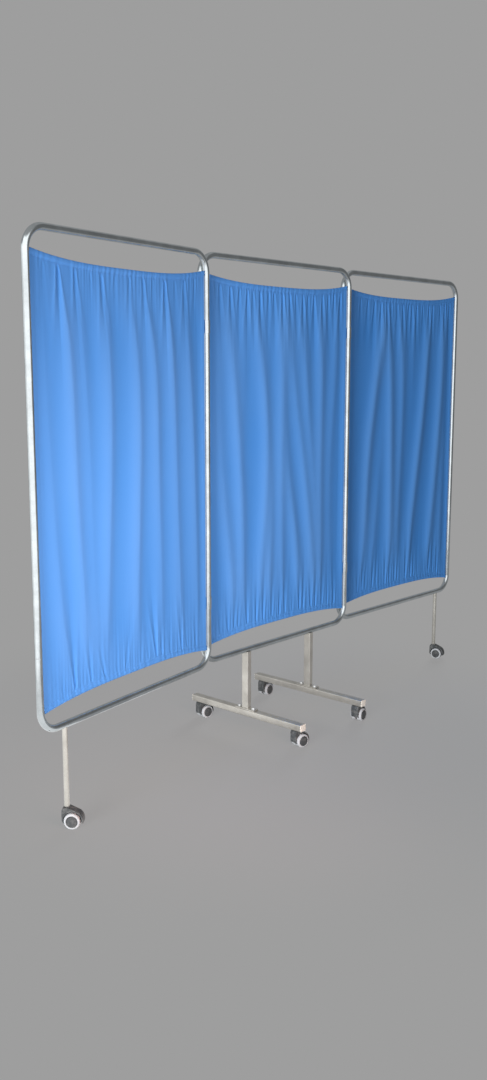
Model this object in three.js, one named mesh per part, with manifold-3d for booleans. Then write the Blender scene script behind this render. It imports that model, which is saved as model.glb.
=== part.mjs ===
// Folding ward screen on castors: three round-tube frames, each with a gathered curtain.
// Millimetres, +Z up. The screen stands on the floor at z = 0; the curtains face -Y.
import * as THREE from 'three';
import { mergeVertices } from 'three/addons/utils/BufferGeometryUtils.js';
import Module from 'manifold-3d';

const wasm = await Module();
wasm.setup();

// Frame loops
const panelWidth = 825; // between the axes of a frame's two side tubes
const topBarHeight = 1700; // axis of the top bar above the floor
const bottomBarHeight = 315;
const splitHeight = 535; // where the upper and lower halves of a frame plug together
const bendRadius = 65; // on the tube's axis
const tubeDiameter = 22;
const tubeWall = 1.2;
const plugLength = 36;
const slipGap = 0.4; // all round a plug in its socket
const seatGap = 0.3; // between pieces that rest on each other
const tubeSides = 16;
const bendRings = 6;

// Hinge clips, which hold a side frame's tube in front of or behind the centre frame's
const clipSpacing = 26.5; // between the two tube axes
const clipHeight = 42;
const clipWall = 1.2;
const clipFillet = 6;
const clipInset = 235; // of the upper clips, below the top bar
const turningGap = 0.35;
const clipArcSteps = 11;
const filletSteps = 3;
const leftRestAngle = 9; // degrees that each side frame is turned towards the front
const rightRestAngle = 1;

// Feet of the centre frame
const postInset = 183; // of each post from the middle of the frame
const postWidth = 20;
const postDepth = 30;
const postCorner = 2.5;
const saddleRise = 5; // of the post's sides above the underside of the bar
const footLength = 536;
const footWidth = 30;
const footHeight = 25;
const footCorner = 4;
const footBevel = 1.5;
const plateLength = 92;
const plateThickness = 4;
const plateCorner = 5;
const boltReach = 33; // of each bolt from the middle of the post
const boltShankRadius = 4;
const boltShankLength = 20;
const boltHeadRadius = 7;
const boltHeadHeight = 5.6;
const washerRadius = 9;
const washerThickness = 1.4;
const boltGap = 0.4;

// Legs of the side frames
const legDiameter = 16;
const legInset = 96; // from the axis of the outer tube
const legSides = 12;

// Castors
const wheelDiameter = 50;
const wheelWidth = 17.5;
const wheelSides = 16;
const wheelShoulder = 5; // of the rounded edge between the tread and the cap, along the axle
const hubCapRadius = 17.5;
const hubCapRise = 2.5;
const webThickness = 9;
const sideGap = 1; // between a wheel and the web
const wellGap = 2; // around a wheel
const hoodWall = 5;
const hoodWidth = 30;
const hoodBevel = 1.6;
const hoodTop = 63;
const hoodTopReach = 11; // of the flat top before and behind the stem
const hoodBackDrop = 7; // of the slope at the back of the flat top
const hoodFloor = 18; // the lower edge of the hood above the floor
const hoodBackCorner = 8; // of the round between the back of the hood and its lower edge
const hoodBackSteps = 2;
const hoodArcSteps = 7;
const hoodSlopeAngle = 55; // degrees, where the round of the hood runs into its slope
const castorTrail = 18; // of the axle behind the stem
const stemRadius = 4;
const stemFlangeRadius = 7;
const stemFlangeThickness = 1.5;
const stemSides = 12;
const stemRise = 22; // of the stem above its flange
const stemFootDepth = 12; // of the stem in the hood
const runningGap = 0.15;
const axleRadius = 3;
const axleReach = 10; // of the axle into each wheel
const castorFootInset = 33; // of a castor from the end of its foot
// Headings of the castors, in degrees anticlockwise from +X
const leftLegHeading = -53;
const rightLegHeading = -75;
const leftFootHeadings = { front: -12, rear: -10 };
const rightFootHeadings = { front: 6, rear: 3 };

// Curtains and the cords in their hems
const topHemGap = 57; // of the curtain's upper corners below the axis of the top bar
const bottomHemGap = 53; // of its lower corners above the axis of the bottom bar
const topSag = 26;
const bottomBow = 23;
const sagPower = 3;
const sideInset = 13.4; // of the curtain's edge from the axis of the tube
const topCornerInset = 15.2;
const bottomCornerInset = 16.6;
const clothThickness = 2;
const hemThickness = 9.6;
const hemEdgeThickness = 3;
const hemDrop = 8; // of the hem's cord below the edge
const stitchDrop = 18;
const hemSwing = 0.9; // of the folds to either side, in the hem
const stitchSwing = 3.2;
const foldSwing = 7.4;
const foldsPerPanel = 9;
const sheetColumns = 45;
const bodyRowShares = [0.2, 0.5, 0.8];
const foldWarpShares = {
  left: [0.42, 0.1, 0.16, 0.62],
  centre: [0.36, 0.55, 0.2, 0.2],
  right: [0.4, 0.8, 0.18, 0.9],
};
const foldSlantShare = 0.28;
const foldFadeShare = 0.05;
const cordRadius = 1.5;
const cordSides = 6;
const cordSteps = 9;
const cordBite = 8; // of the cord's end in the tube
const cordGap = 0.4;

const overrun = 5; // of a cut past the face that it opens
const tubeRadius = tubeDiameter / 2;
const wheelRadius = wheelDiameter / 2;
const axleHeight = wheelRadius * Math.cos(Math.PI / wheelSides);
const clipHoleRadius = (tubeRadius + turningGap) / Math.cos(Math.PI / tubeSides);
const clipRingRadius = tubeRadius + turningGap + clipWall;
const topHemHeight = topBarHeight - topHemGap;
const bottomHemHeight = bottomBarHeight + bottomHemGap;

// Finishes
const steel = { color: 0xc9cccd, roughness: 0.22, metalness: 1 };
const brushedSteel = { color: 0xb4b1aa, roughness: 0.38, metalness: 1 };
const zincSteel = { color: 0xd6d8d8, roughness: 0.3, metalness: 1 };
const blueCloth = { color: 0x4f93d8, roughness: 0.9, metalness: 0 };
const whiteCord = { color: 0xe6e7e6, roughness: 0.8, metalness: 0 };
const darkNylon = { color: 0x4c5254, roughness: 0.55, metalness: 0 };
const paleWheel = { color: 0xd9dde0, roughness: 0.5, metalness: 0 };

// Solids

function solidOf(geometry) {
  const plain = geometry.clone();
  plain.deleteAttribute('normal');
  plain.deleteAttribute('uv');
  const welded = mergeVertices(plain);
  const mesh = new wasm.Mesh({
    numProp: 3,
    vertProperties: new Float32Array(welded.attributes.position.array),
    triVerts: new Uint32Array(welded.index.array),
  });
  return new wasm.Manifold(mesh);
}

function geometryOf(solid) {
  const mesh = solid.getMesh();
  const geometry = new THREE.BufferGeometry();
  geometry.setAttribute('position', new THREE.BufferAttribute(mesh.vertProperties, mesh.numProp));
  geometry.setIndex(new THREE.BufferAttribute(mesh.triVerts, 1));
  return geometry;
}

function joined(geometries) {
  return geometries.map(solidOf).reduce((whole, piece) => whole.add(piece));
}

function cutBy(solid, geometries) {
  return geometries.map(solidOf).reduce((rest, tool) => rest.subtract(tool), solid);
}

// A bar along Y cut across and joined again, so that each length has flat faces of its own
function inLengths(solid, places) {
  const lengths = [];
  let rest = solid;
  for (const place of places) {
    const [beyond, before] = rest.splitByPlane([0, 1, 0], place);
    lengths.push(before.asOriginal());
    rest = beyond;
  }
  return lengths.reduce((whole, length) => whole.add(length), rest.asOriginal());
}

function addMesh(group, name, geometry, finish) {
  geometry.computeVertexNormals();
  const mesh = new THREE.Mesh(geometry, new THREE.MeshStandardMaterial(finish));
  mesh.name = name;
  group.add(mesh);
  return mesh;
}

// Outlines

function arcPoints(x, y, radius, from, to, steps) {
  return Array.from({ length: steps + 1 }, (_, step) => {
    const angle = from + ((to - from) * step) / steps;
    return new THREE.Vector2(x + radius * Math.cos(angle), y + radius * Math.sin(angle));
  });
}

function roundSection(radius, sides) {
  return new THREE.Shape(arcPoints(0, 0, radius, 0, 2 * Math.PI, sides).slice(0, sides));
}

function roundedRectangle(width, height, corner) {
  const across = width / 2 - corner;
  const up = height / 2 - corner;
  const corners = [[across, up], [-across, up], [-across, -up], [across, -up]];
  return new THREE.Shape(corners.flatMap(([x, y], quarter) => {
    const start = (quarter * Math.PI) / 2;
    return arcPoints(x, y, corner, start, start + Math.PI / 2, filletSteps - 1);
  }));
}

// An upright rod from one height to another
function rod(radius, low, high, sides) {
  const geometry = new THREE.CylinderGeometry(radius, radius, high - low, sides);
  geometry.rotateX(Math.PI / 2);
  geometry.translate(0, 0, (low + high) / 2);
  return geometry;
}

// A rod along Y between two places on that axis, at a height and a distance along X
function crossRod(radius, near, far, sides, x, z) {
  const geometry = new THREE.CylinderGeometry(radius, radius, far - near, sides);
  geometry.rotateY(Math.PI / sides);
  geometry.translate(x, (near + far) / 2, z);
  return geometry;
}

// A rod along X, centred over the origin, for saddles under a bar
function barTool(radius, length, z) {
  const geometry = new THREE.CylinderGeometry(radius, radius, length, 2 * tubeSides);
  geometry.rotateZ(Math.PI / 2);
  geometry.translate(0, 0, z);
  return geometry;
}

function upright(shape, low, high) {
  const geometry = new THREE.ExtrudeGeometry(shape, { depth: high - low, bevelEnabled: false, steps: 1 });
  geometry.translate(0, 0, low);
  return geometry;
}

// Tubes

// A chain of curves on which rings are counted out curve by curve, so that straight runs take one step
class RingPath extends THREE.Curve {
  constructor(curves, rings) {
    super();
    this.curves = curves;
    this.rings = rings;
    this.ringCount = rings.reduce((sum, count) => sum + count, 0);
  }

  getPoint(share, target = new THREE.Vector3()) {
    const place = share * this.ringCount;
    let start = 0;
    let index = 0;
    while (index < this.curves.length - 1 && place > start + this.rings[index]) {
      start += this.rings[index];
      index += 1;
    }
    return this.curves[index].getPoint((place - start) / this.rings[index], target);
  }

  getUtoTmapping(share) {
    return share;
  }
}

// A quarter bend from one point to another round the corner between them
function bend(from, corner, to) {
  const handleShare = (4 / 3) * (Math.SQRT2 - 1);
  const nearHandle = from.clone().lerp(corner, handleShare);
  const farHandle = to.clone().lerp(corner, handleShare);
  return new THREE.CubicBezierCurve3(from, nearHandle, farHandle, to);
}

// Half a frame loop: up one side tube, along the bar and down the other, from x = 0 to panelWidth
function halfLoop(endHeight, barHeight) {
  const turn = Math.sign(barHeight - endHeight) * bendRadius;
  const at = (x, z) => new THREE.Vector3(x, 0, z);
  const left = [at(0, endHeight), at(0, barHeight - turn), at(0, barHeight), at(bendRadius, barHeight)];
  const right = [at(panelWidth - bendRadius, barHeight), at(panelWidth, barHeight),
    at(panelWidth, barHeight - turn), at(panelWidth, endHeight)];
  const path = new RingPath([
    new THREE.LineCurve3(left[0], left[1]),
    bend(left[1], left[2], left[3]),
    new THREE.LineCurve3(left[3], right[0]),
    bend(right[0], right[1], right[2]),
    new THREE.LineCurve3(right[2], right[3]),
  ], [1, bendRings, 1, bendRings, 1]);
  return new THREE.ExtrudeGeometry(roundSection(tubeRadius, tubeSides), {
    steps: path.ringCount,
    extrudePath: path,
  });
}

// How far the hem hangs or rises between its two ends, as a share of the sag in the middle
function sagShape(share) {
  return 1 - Math.abs(2 * share - 1) ** sagPower;
}

function topEdge(share) {
  return topHemHeight - topSag * sagShape(share);
}

function bottomEdge(share) {
  return bottomHemHeight + bottomBow * sagShape(share);
}

// The line of a hem's cord, whose ends reach into the side tubes
class HemLine extends THREE.Curve {
  constructor(edge, drop, bite) {
    super();
    this.edge = edge;
    this.drop = drop;
    this.start = tubeRadius - bite;
  }

  getPoint(share, target = new THREE.Vector3()) {
    const x = this.start + share * (panelWidth - 2 * this.start);
    const along = (x - sideInset) / (panelWidth - 2 * sideInset);
    return target.set(x, 0, this.edge(along) + this.drop);
  }
}

function hemRod(edge, drop, radius, bite) {
  return new THREE.ExtrudeGeometry(roundSection(radius, cordSides), {
    steps: cordSteps,
    extrudePath: new HemLine(edge, drop, bite),
  });
}

const topHem = [topEdge, -hemDrop];
const bottomHem = [bottomEdge, hemDrop];

function upperFrame() {
  const end = splitHeight + seatGap / 2;
  const socket = rod(tubeRadius - tubeWall, end - overrun, end + plugLength + seatGap, tubeSides);
  const sockets = [0, panelWidth].map((x) => socket.clone().translate(x, 0, 0));
  const cordHoles = hemRod(...topHem, cordRadius + cordGap, cordBite + cordGap);
  return geometryOf(cutBy(solidOf(halfLoop(end, topBarHeight)), [...sockets, cordHoles]));
}

function lowerFrame() {
  const end = splitHeight - seatGap / 2;
  const plug = rod(tubeRadius - tubeWall - slipGap, end - overrun, end + plugLength, tubeSides);
  const plugs = [0, panelWidth].map((x) => plug.clone().translate(x, 0, 0));
  const cordHoles = hemRod(...bottomHem, cordRadius + cordGap, cordBite + cordGap);
  return geometryOf(cutBy(joined([halfLoop(end, bottomBarHeight), ...plugs]), [cordHoles]));
}

// Hinge clips

// Two rings side by side along Y, joined by a waist with hollow fillets; the first ring is at the origin
function hingeClip(middleHeight) {
  const half = clipSpacing / 2;
  const reach = clipRingRadius + clipFillet;
  const rise = Math.sqrt(reach ** 2 - half ** 2);
  const tilt = Math.atan2(rise, half);
  const outline = new THREE.Shape([
    ...arcPoints(-half, 0, clipRingRadius, tilt, 2 * Math.PI - tilt, clipArcSteps),
    ...arcPoints(0, -rise, clipFillet, Math.PI - tilt, tilt, filletSteps).slice(1, -1),
    ...arcPoints(half, 0, clipRingRadius, tilt - Math.PI, Math.PI - tilt, clipArcSteps),
    ...arcPoints(0, rise, clipFillet, -tilt, tilt - Math.PI, filletSteps).slice(1, -1),
  ]);
  for (const x of [-half, half]) {
    const ring = arcPoints(x, 0, clipHoleRadius, 0, 2 * Math.PI, tubeSides);
    outline.holes.push(new THREE.Path(ring.slice(0, tubeSides)));
  }
  const geometry = upright(outline, middleHeight - clipHeight / 2, middleHeight + clipHeight / 2);
  geometry.translate(half, 0, 0);
  geometry.rotateZ(Math.PI / 2);
  return geometry;
}

// Feet

const hoodRadius = wheelRadius + wellGap + hoodWall;
const stemFlangeTop = hoodTop + runningGap + stemFlangeThickness;
const stemTop = stemFlangeTop + stemRise;
const footBottom = stemFlangeTop + seatGap;
const footTop = footBottom + footHeight;
const plateTop = footTop + seatGap + plateThickness;

function boltPlaces() {
  return [-boltReach, boltReach];
}

function post() {
  const barUnderside = bottomBarHeight - tubeRadius;
  const column = upright(roundedRectangle(postWidth, postDepth, postCorner),
    plateTop - plateThickness / 2, barUnderside + saddleRise);
  const plate = upright(roundedRectangle(footWidth, plateLength, plateCorner), footTop + seatGap, plateTop);
  const saddle = barTool(tubeRadius + seatGap, postWidth + 2 * overrun, bottomBarHeight);
  const holes = boltPlaces().map((y) => rod(boltShankRadius + boltGap, footTop - overrun, plateTop + overrun,
    stemSides).translate(0, y, 0));
  return geometryOf(cutBy(joined([column, plate]), [saddle, ...holes]));
}

// A cross foot, whose underside stays clear between the circles that its castors swivel in
function foot() {
  const bar = new THREE.ExtrudeGeometry(
    roundedRectangle(footWidth - 2 * footBevel, footHeight - 2 * footBevel, footCorner - footBevel), {
      depth: footLength - 2 * footBevel,
      steps: 1,
      bevelThickness: footBevel,
      bevelSize: footBevel,
      bevelSegments: 2,
    });
  bar.translate(0, 0, footBevel - footLength / 2);
  bar.rotateX(Math.PI / 2);
  bar.translate(0, 0, footBottom + footHeight / 2);
  const boltDepth = boltShankLength - plateThickness;
  const boltHoles = boltPlaces().map((y) => rod(boltShankRadius + boltGap, footTop - boltDepth - boltGap,
    footTop + overrun, stemSides).translate(0, y, 0));
  const stemPlace = footLength / 2 - castorFootInset;
  const stemHoles = [-stemPlace, stemPlace].map((y) => rod(stemRadius + seatGap, footBottom - overrun,
    stemTop + seatGap, stemSides).translate(0, y, 0));
  const clearReach = stemPlace - castorTrail - hoodRadius;
  return geometryOf(cutBy(inLengths(solidOf(bar), [-clearReach, clearReach]), [...boltHoles, ...stemHoles]));
}

// A dome-headed bolt with its washer; the washer's underside is at z = 0
function domeBolt() {
  const shoulder = washerThickness + boltHeadHeight / 3;
  const domeRise = boltHeadHeight * (Math.SQRT1_2 + 1 / 9);
  const profile = [
    [0, -boltShankLength], [boltShankRadius, -boltShankLength], [boltShankRadius, 0], [washerRadius, 0],
    [washerRadius, washerThickness], [boltHeadRadius, washerThickness], [boltHeadRadius, shoulder],
    [boltHeadRadius * Math.SQRT1_2, washerThickness + domeRise],
    [0, washerThickness + boltHeadHeight],
  ].map(([x, y]) => new THREE.Vector2(x, y));
  const geometry = new THREE.LatheGeometry(profile, legSides);
  geometry.rotateX(Math.PI / 2);
  return geometry;
}

// Castors

function castorStem() {
  const bottom = hoodTop - stemFootDepth;
  const flangeBottom = stemFlangeTop - stemFlangeThickness;
  const profile = [
    [0, bottom], [stemRadius, bottom], [stemRadius, flangeBottom], [stemFlangeRadius, flangeBottom],
    [stemFlangeRadius, stemFlangeTop], [stemRadius, stemFlangeTop], [stemRadius, stemTop], [0, stemTop],
  ].map(([x, y]) => new THREE.Vector2(x, y));
  const geometry = new THREE.LatheGeometry(profile, stemSides);
  geometry.rotateX(Math.PI / 2);
  return geometry;
}

// The hood: a fender over the two wheels, flat on top around the stem, upright behind and sloped in front
function castorHood() {
  const dip = Math.asin((axleHeight - hoodFloor) / hoodRadius);
  const slopeStart = THREE.MathUtils.degToRad(hoodSlopeAngle);
  const back = castorTrail - hoodRadius;
  const outline = new THREE.Shape([
    ...arcPoints(castorTrail, axleHeight, hoodRadius, -dip, slopeStart, hoodArcSteps),
    new THREE.Vector2(hoodTopReach, hoodTop),
    new THREE.Vector2(-hoodTopReach, hoodTop),
    new THREE.Vector2(back, hoodTop - hoodBackDrop),
    ...arcPoints(back + hoodBackCorner, hoodFloor + hoodBackCorner, hoodBackCorner,
      Math.PI, (3 * Math.PI) / 2, hoodBackSteps),
  ]);
  const shell = new THREE.ExtrudeGeometry(outline, {
    depth: hoodWidth - 2 * hoodBevel,
    steps: 1,
    bevelThickness: hoodBevel,
    bevelSize: hoodBevel,
    bevelOffset: -hoodBevel,
    bevelSegments: 1,
  });
  shell.rotateX(Math.PI / 2);
  shell.translate(0, hoodWidth / 2 - hoodBevel, 0);
  const wellRadius = wheelRadius + wellGap;
  const wells = [-1, 1].map((side) => {
    const inner = (side * webThickness) / 2;
    const outer = side * (hoodWidth / 2 + overrun);
    const ends = [inner, outer].sort((a, b) => a - b);
    return crossRod(wellRadius, ...ends, wheelSides, castorTrail, axleHeight);
  });
  const boreFloor = hoodTop - stemFootDepth - runningGap;
  const stemBore = rod(stemRadius + runningGap, boreFloor, hoodTop + overrun, stemSides);
  const axleBore = crossRod(axleRadius + seatGap, -webThickness, webThickness, stemSides,
    castorTrail, axleHeight);
  return geometryOf(cutBy(solidOf(shell), [...wells, stemBore, axleBore]));
}

function castorAxle() {
  const reach = webThickness / 2 + sideGap + axleReach;
  return crossRod(axleRadius, -reach, reach, stemSides, castorTrail, axleHeight);
}

// A wheel whose inner face looks to -Y and whose domed cap looks to +Y, turned for the other side
function castorWheel(side) {
  const inner = webThickness / 2 + sideGap;
  const outer = inner + wheelWidth;
  const bore = axleRadius / Math.cos(Math.PI / wheelSides) + runningGap;
  const boreEnd = inner + axleReach + sideGap;
  const shoulderDrop = wheelRadius - hubCapRadius;
  const profile = [
    [0, boreEnd], [bore, boreEnd], [bore, inner], [wheelRadius, inner], [wheelRadius, outer - wheelShoulder],
    [wheelRadius - shoulderDrop / 3, outer - wheelShoulder / 3], [hubCapRadius, outer],
    [hubCapRadius / 2, outer + (3 * hubCapRise) / 4], [0, outer + hubCapRise],
  ].map(([x, y]) => new THREE.Vector2(x, y));
  const geometry = new THREE.LatheGeometry(profile, wheelSides);
  geometry.rotateY(Math.PI / wheelSides);
  if (side < 0) geometry.rotateZ(Math.PI);
  geometry.translate(castorTrail, 0, axleHeight);
  return geometry;
}

function addCastor(group, name, x, y, heading) {
  const castor = new THREE.Group();
  castor.position.set(x, y, 0);
  castor.rotation.z = THREE.MathUtils.degToRad(heading);
  group.add(castor);
  addMesh(castor, `${name}_castor_stem`, castorStem(), zincSteel);
  addMesh(castor, `${name}_castor_hood`, castorHood(), darkNylon);
  addMesh(castor, `${name}_castor_axle`, castorAxle(), zincSteel);
  addMesh(castor, `${name}_wheel_a`, castorWheel(-1), paleWheel);
  addMesh(castor, `${name}_wheel_b`, castorWheel(1), paleWheel);
}

// Legs

function leg() {
  const barUnderside = bottomBarHeight - tubeRadius;
  const column = rod(legDiameter / 2, footBottom, barUnderside + saddleRise, legSides);
  const saddle = barTool(tubeRadius + seatGap, legDiameter + 2 * overrun, bottomBarHeight);
  const socket = rod(stemRadius + seatGap, footBottom - overrun, stemTop + seatGap, stemSides);
  return geometryOf(cutBy(solidOf(column), [saddle, socket]));
}

// Curtains

// The folds: a wave across the cloth whose spacing drifts and whose crests lean from top to bottom
function foldWave(share, downShare, warpShares) {
  const [firstWarp, firstPhase, secondWarp, secondPhase] = warpShares;
  const drift = firstWarp * Math.sin(2 * Math.PI * (share + firstPhase))
    + secondWarp * Math.sin(2 * Math.PI * (3 * share + secondPhase));
  const lean = foldSlantShare * (downShare - 1 / 2) * Math.cos(2 * Math.PI * (share + secondPhase));
  const fade = Math.min(1, share / foldFadeShare, (1 - share) / foldFadeShare);
  return fade * Math.sin(2 * Math.PI * (foldsPerPanel * share + drift + lean));
}

// Rows of the sheet from the top edge down: height, thickness, swing of the folds and inset at the sides
function sheetRows() {
  const topRow = (drop, thickness, swing, inset) => ({
    height: (share) => topEdge(share) - drop, thickness, swing, inset, downShare: 0,
  });
  const bottomRow = (drop, thickness, swing, inset) => ({
    height: (share) => bottomEdge(share) + drop, thickness, swing, inset, downShare: 1,
  });
  const topStitch = (share) => topEdge(share) - stitchDrop;
  const bottomStitch = (share) => bottomEdge(share) + stitchDrop;
  const bodyRow = (downShare) => ({
    height: (share) => THREE.MathUtils.lerp(topStitch(share), bottomStitch(share), downShare),
    thickness: clothThickness, swing: foldSwing, inset: sideInset, downShare,
  });
  return [
    topRow(0, hemEdgeThickness, hemSwing, topCornerInset),
    topRow(hemDrop, hemThickness, hemSwing, sideInset),
    topRow(stitchDrop, clothThickness, stitchSwing, sideInset),
    ...bodyRowShares.map(bodyRow),
    bottomRow(stitchDrop, clothThickness, stitchSwing, sideInset),
    bottomRow(hemDrop, hemThickness, hemSwing, sideInset),
    bottomRow(0, hemEdgeThickness, hemSwing, bottomCornerInset),
  ];
}

// A closed sheet: front and back faces on one grid, joined round the edge
function curtainSheet(warpShares) {
  const rows = sheetRows();
  const width = sheetColumns + 1;
  const positions = [];
  for (const face of [-1, 1]) {
    for (const row of rows) {
      for (let column = 0; column <= sheetColumns; column += 1) {
        const share = column / sheetColumns;
        const x = THREE.MathUtils.lerp(row.inset, panelWidth - row.inset, share);
        const middle = row.swing * foldWave(share, row.downShare, warpShares);
        positions.push(x, middle + (face * row.thickness) / 2, row.height(share));
      }
    }
  }
  const back = rows.length * width;
  const place = (face, row, column) => face * back + row * width + column;
  const triangles = [];
  const quad = (a, b, c, d) => triangles.push(a, b, c, a, c, d);
  for (let row = 0; row < rows.length - 1; row += 1) {
    const below = row + 1;
    for (let column = 0; column < sheetColumns; column += 1) {
      const next = column + 1;
      quad(place(0, row, column), place(0, below, column), place(0, below, next), place(0, row, next));
      quad(place(1, row, column), place(1, row, next), place(1, below, next), place(1, below, column));
    }
    quad(place(0, row, 0), place(1, row, 0), place(1, below, 0), place(0, below, 0));
    quad(place(0, row, sheetColumns), place(0, below, sheetColumns), place(1, below, sheetColumns),
      place(1, row, sheetColumns));
  }
  const last = rows.length - 1;
  for (let column = 0; column < sheetColumns; column += 1) {
    const next = column + 1;
    quad(place(0, 0, column), place(0, 0, next), place(1, 0, next), place(1, 0, column));
    quad(place(0, last, column), place(1, last, column), place(1, last, next), place(0, last, next));
  }
  const geometry = new THREE.BufferGeometry();
  geometry.setAttribute('position', new THREE.Float32BufferAttribute(positions, 3));
  geometry.setIndex(triangles);
  return geometry;
}

function curtain(warpShares) {
  const channels = [topHem, bottomHem].map((hem) => hemRod(...hem, cordRadius + cordGap, 0));
  return geometryOf(cutBy(solidOf(curtainSheet(warpShares)), channels));
}

// One frame with its curtain and cords, from x = 0 at the left tube to panelWidth at the right
function addPanel(group, name) {
  addMesh(group, `${name}_upper_frame`, upperFrame(), steel);
  addMesh(group, `${name}_lower_frame`, lowerFrame(), steel);
  addMesh(group, `${name}_curtain`, curtain(foldWarpShares[name]), blueCloth);
  addMesh(group, `${name}_top_cord`, hemRod(...topHem, cordRadius, cordBite), whiteCord);
  addMesh(group, `${name}_bottom_cord`, hemRod(...bottomHem, cordRadius, cordBite), whiteCord);
}

// A side frame's leg, at a distance from the frame's left tube, with its castor
function addLeg(group, name, x, heading) {
  addMesh(group, `${name}_leg`, leg(), brushedSteel).position.x = x;
  addCastor(group, `${name}_leg`, x, 0, heading);
}

// Assembly, centred over the middle of the whole screen

const leftAngle = THREE.MathUtils.degToRad(leftRestAngle);
const rightAngle = THREE.MathUtils.degToRad(rightRestAngle);
const centreShift = (Math.cos(leftAngle) - Math.cos(rightAngle)) * (panelWidth / 2);

const wardScreen = new THREE.Group();
wardScreen.name = 'ward_screen';
wardScreen.position.x = centreShift;

const centreFrame = new THREE.Group();
centreFrame.position.x = -panelWidth / 2;
wardScreen.add(centreFrame);
addPanel(centreFrame, 'centre');

const leftHinge = new THREE.Group();
leftHinge.position.set(-panelWidth / 2, -clipSpacing, 0);
leftHinge.rotation.z = leftAngle;
const leftFrame = new THREE.Group();
leftFrame.position.x = -panelWidth;
leftHinge.add(leftFrame);
wardScreen.add(leftHinge);
addPanel(leftFrame, 'left');
addLeg(leftFrame, 'left', legInset, leftLegHeading - leftRestAngle);

const rightHinge = new THREE.Group();
rightHinge.position.set(panelWidth / 2, clipSpacing, 0);
rightHinge.rotation.z = -rightAngle;
wardScreen.add(rightHinge);
addPanel(rightHinge, 'right');
addLeg(rightHinge, 'right', panelWidth - legInset, rightLegHeading + rightRestAngle);

const clipHeights = { upper: topBarHeight - clipInset, lower: splitHeight };
for (const [level, height] of Object.entries(clipHeights)) {
  const leftClip = addMesh(wardScreen, `left_${level}_hinge_clip`, hingeClip(height), steel);
  leftClip.position.set(-panelWidth / 2, -clipSpacing, 0);
  const rightClip = addMesh(wardScreen, `right_${level}_hinge_clip`, hingeClip(height), steel);
  rightClip.position.set(panelWidth / 2, 0, 0);
}

const stands = [['left', -1, leftFootHeadings], ['right', 1, rightFootHeadings]];
for (const [name, side, headings] of stands) {
  const stand = new THREE.Group();
  stand.position.x = side * postInset;
  wardScreen.add(stand);
  addMesh(stand, `${name}_post`, post(), brushedSteel);
  addMesh(stand, `${name}_foot`, foot(), brushedSteel);
  const castorPlace = footLength / 2 - castorFootInset;
  for (const [end, way] of [['front', -1], ['rear', 1]]) {
    const bolt = addMesh(stand, `${name}_${end}_bolt`, domeBolt(), zincSteel);
    bolt.position.set(0, way * boltReach, plateTop + seatGap);
    addCastor(stand, `${name}_foot_${end}`, 0, way * castorPlace, headings[end]);
  }
}

export default wardScreen;
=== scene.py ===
import math
import bpy
import numpy as np
from mathutils import Matrix, Vector, geometry


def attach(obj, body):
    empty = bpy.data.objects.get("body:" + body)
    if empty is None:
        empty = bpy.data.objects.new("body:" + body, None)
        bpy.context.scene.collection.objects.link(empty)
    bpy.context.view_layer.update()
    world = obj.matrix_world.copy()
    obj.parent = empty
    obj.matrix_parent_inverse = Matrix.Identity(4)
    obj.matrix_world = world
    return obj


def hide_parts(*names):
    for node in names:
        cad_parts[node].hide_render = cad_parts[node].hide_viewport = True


# Ward screen on castors: three tube frames with gathered curtains, in front of a plain grey studio
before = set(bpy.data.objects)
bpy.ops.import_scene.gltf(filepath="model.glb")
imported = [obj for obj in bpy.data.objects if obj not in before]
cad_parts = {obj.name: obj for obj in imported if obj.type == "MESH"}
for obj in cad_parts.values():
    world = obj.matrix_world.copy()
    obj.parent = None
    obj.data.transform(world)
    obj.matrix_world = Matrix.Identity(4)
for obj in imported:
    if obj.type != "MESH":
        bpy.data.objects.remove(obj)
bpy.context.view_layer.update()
print("frame loaded")

# Sizes that several pieces share, in millimetres and degrees, as in the solids
shared = {
    "panelWidth": 825.0, "topBar": 1700.0, "bottomBar": 315.0, "split": 535.0, "bendRadius": 65.0,
    "tubeRadius": 11.0, "tubeWall": 1.2, "clipSpacing": 26.5, "leftAngle": 9.0, "rightAngle": 1.0,
    "postInset": 183.0, "legInset": 96.0, "footLength": 536.0, "castorInset": 33.0,
    "hoodTop": 63.0, "flangeTop": 64.65, "footBottom": 64.95, "plateTop": 94.25,
    "axleHeight": 24.52, "trail": 18.0, "stemRadius": 4.0,
}
halfPanel = shared["panelWidth"] / 2
leftTurn, rightTurn = math.radians(shared["leftAngle"]), -math.radians(shared["rightAngle"])
centreShift = (math.cos(leftTurn) - math.cos(rightTurn)) * halfPanel

# Each panel's place: its turn about Z, then its own zero, which is on the axis of its left tube
panelPlaces = {
    "left": (leftTurn, centreShift - halfPanel - shared["panelWidth"] * math.cos(leftTurn),
             -shared["clipSpacing"] - shared["panelWidth"] * math.sin(leftTurn)),
    "centre": (0.0, centreShift - halfPanel, 0.0),
    "right": (rightTurn, centreShift + halfPanel, shared["clipSpacing"]),
}
panelBodies = {"left": "left_panel", "centre": "centre_frame", "right": "right_panel"}

# Where the curtains hang: the heights of their edges at the sides, how far these bow, and the hems
hangValues = {
    "topHem": 1643.0, "bottomHem": 368.0, "topSag": 26.0, "bottomBow": 23.0, "sagPower": 3.0,
    "sideInset": 13.4, "sideGap": 0.3, "topCorner": 1.8, "bottomCorner": 3.2, "cornerReach": 5.0,
    "hemDrop": 8.0, "stitchDrop": 18.0, "fade": 0.05,
}
clothSpan = shared["panelWidth"] - 2 * hangValues["sideInset"]


# A shape is (points, quads, triangles), in millimetres
def turned(shape, angle=0.0, x=0.0, y=0.0, z=0.0):  # the points turned about Z, then moved
    points, quads, triangles = shape
    c, s = math.cos(angle), math.sin(angle)
    return points @ [[c, s, 0], [-s, c, 0], [0, 0, 1]] + [x, y, z], quads, triangles


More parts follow.
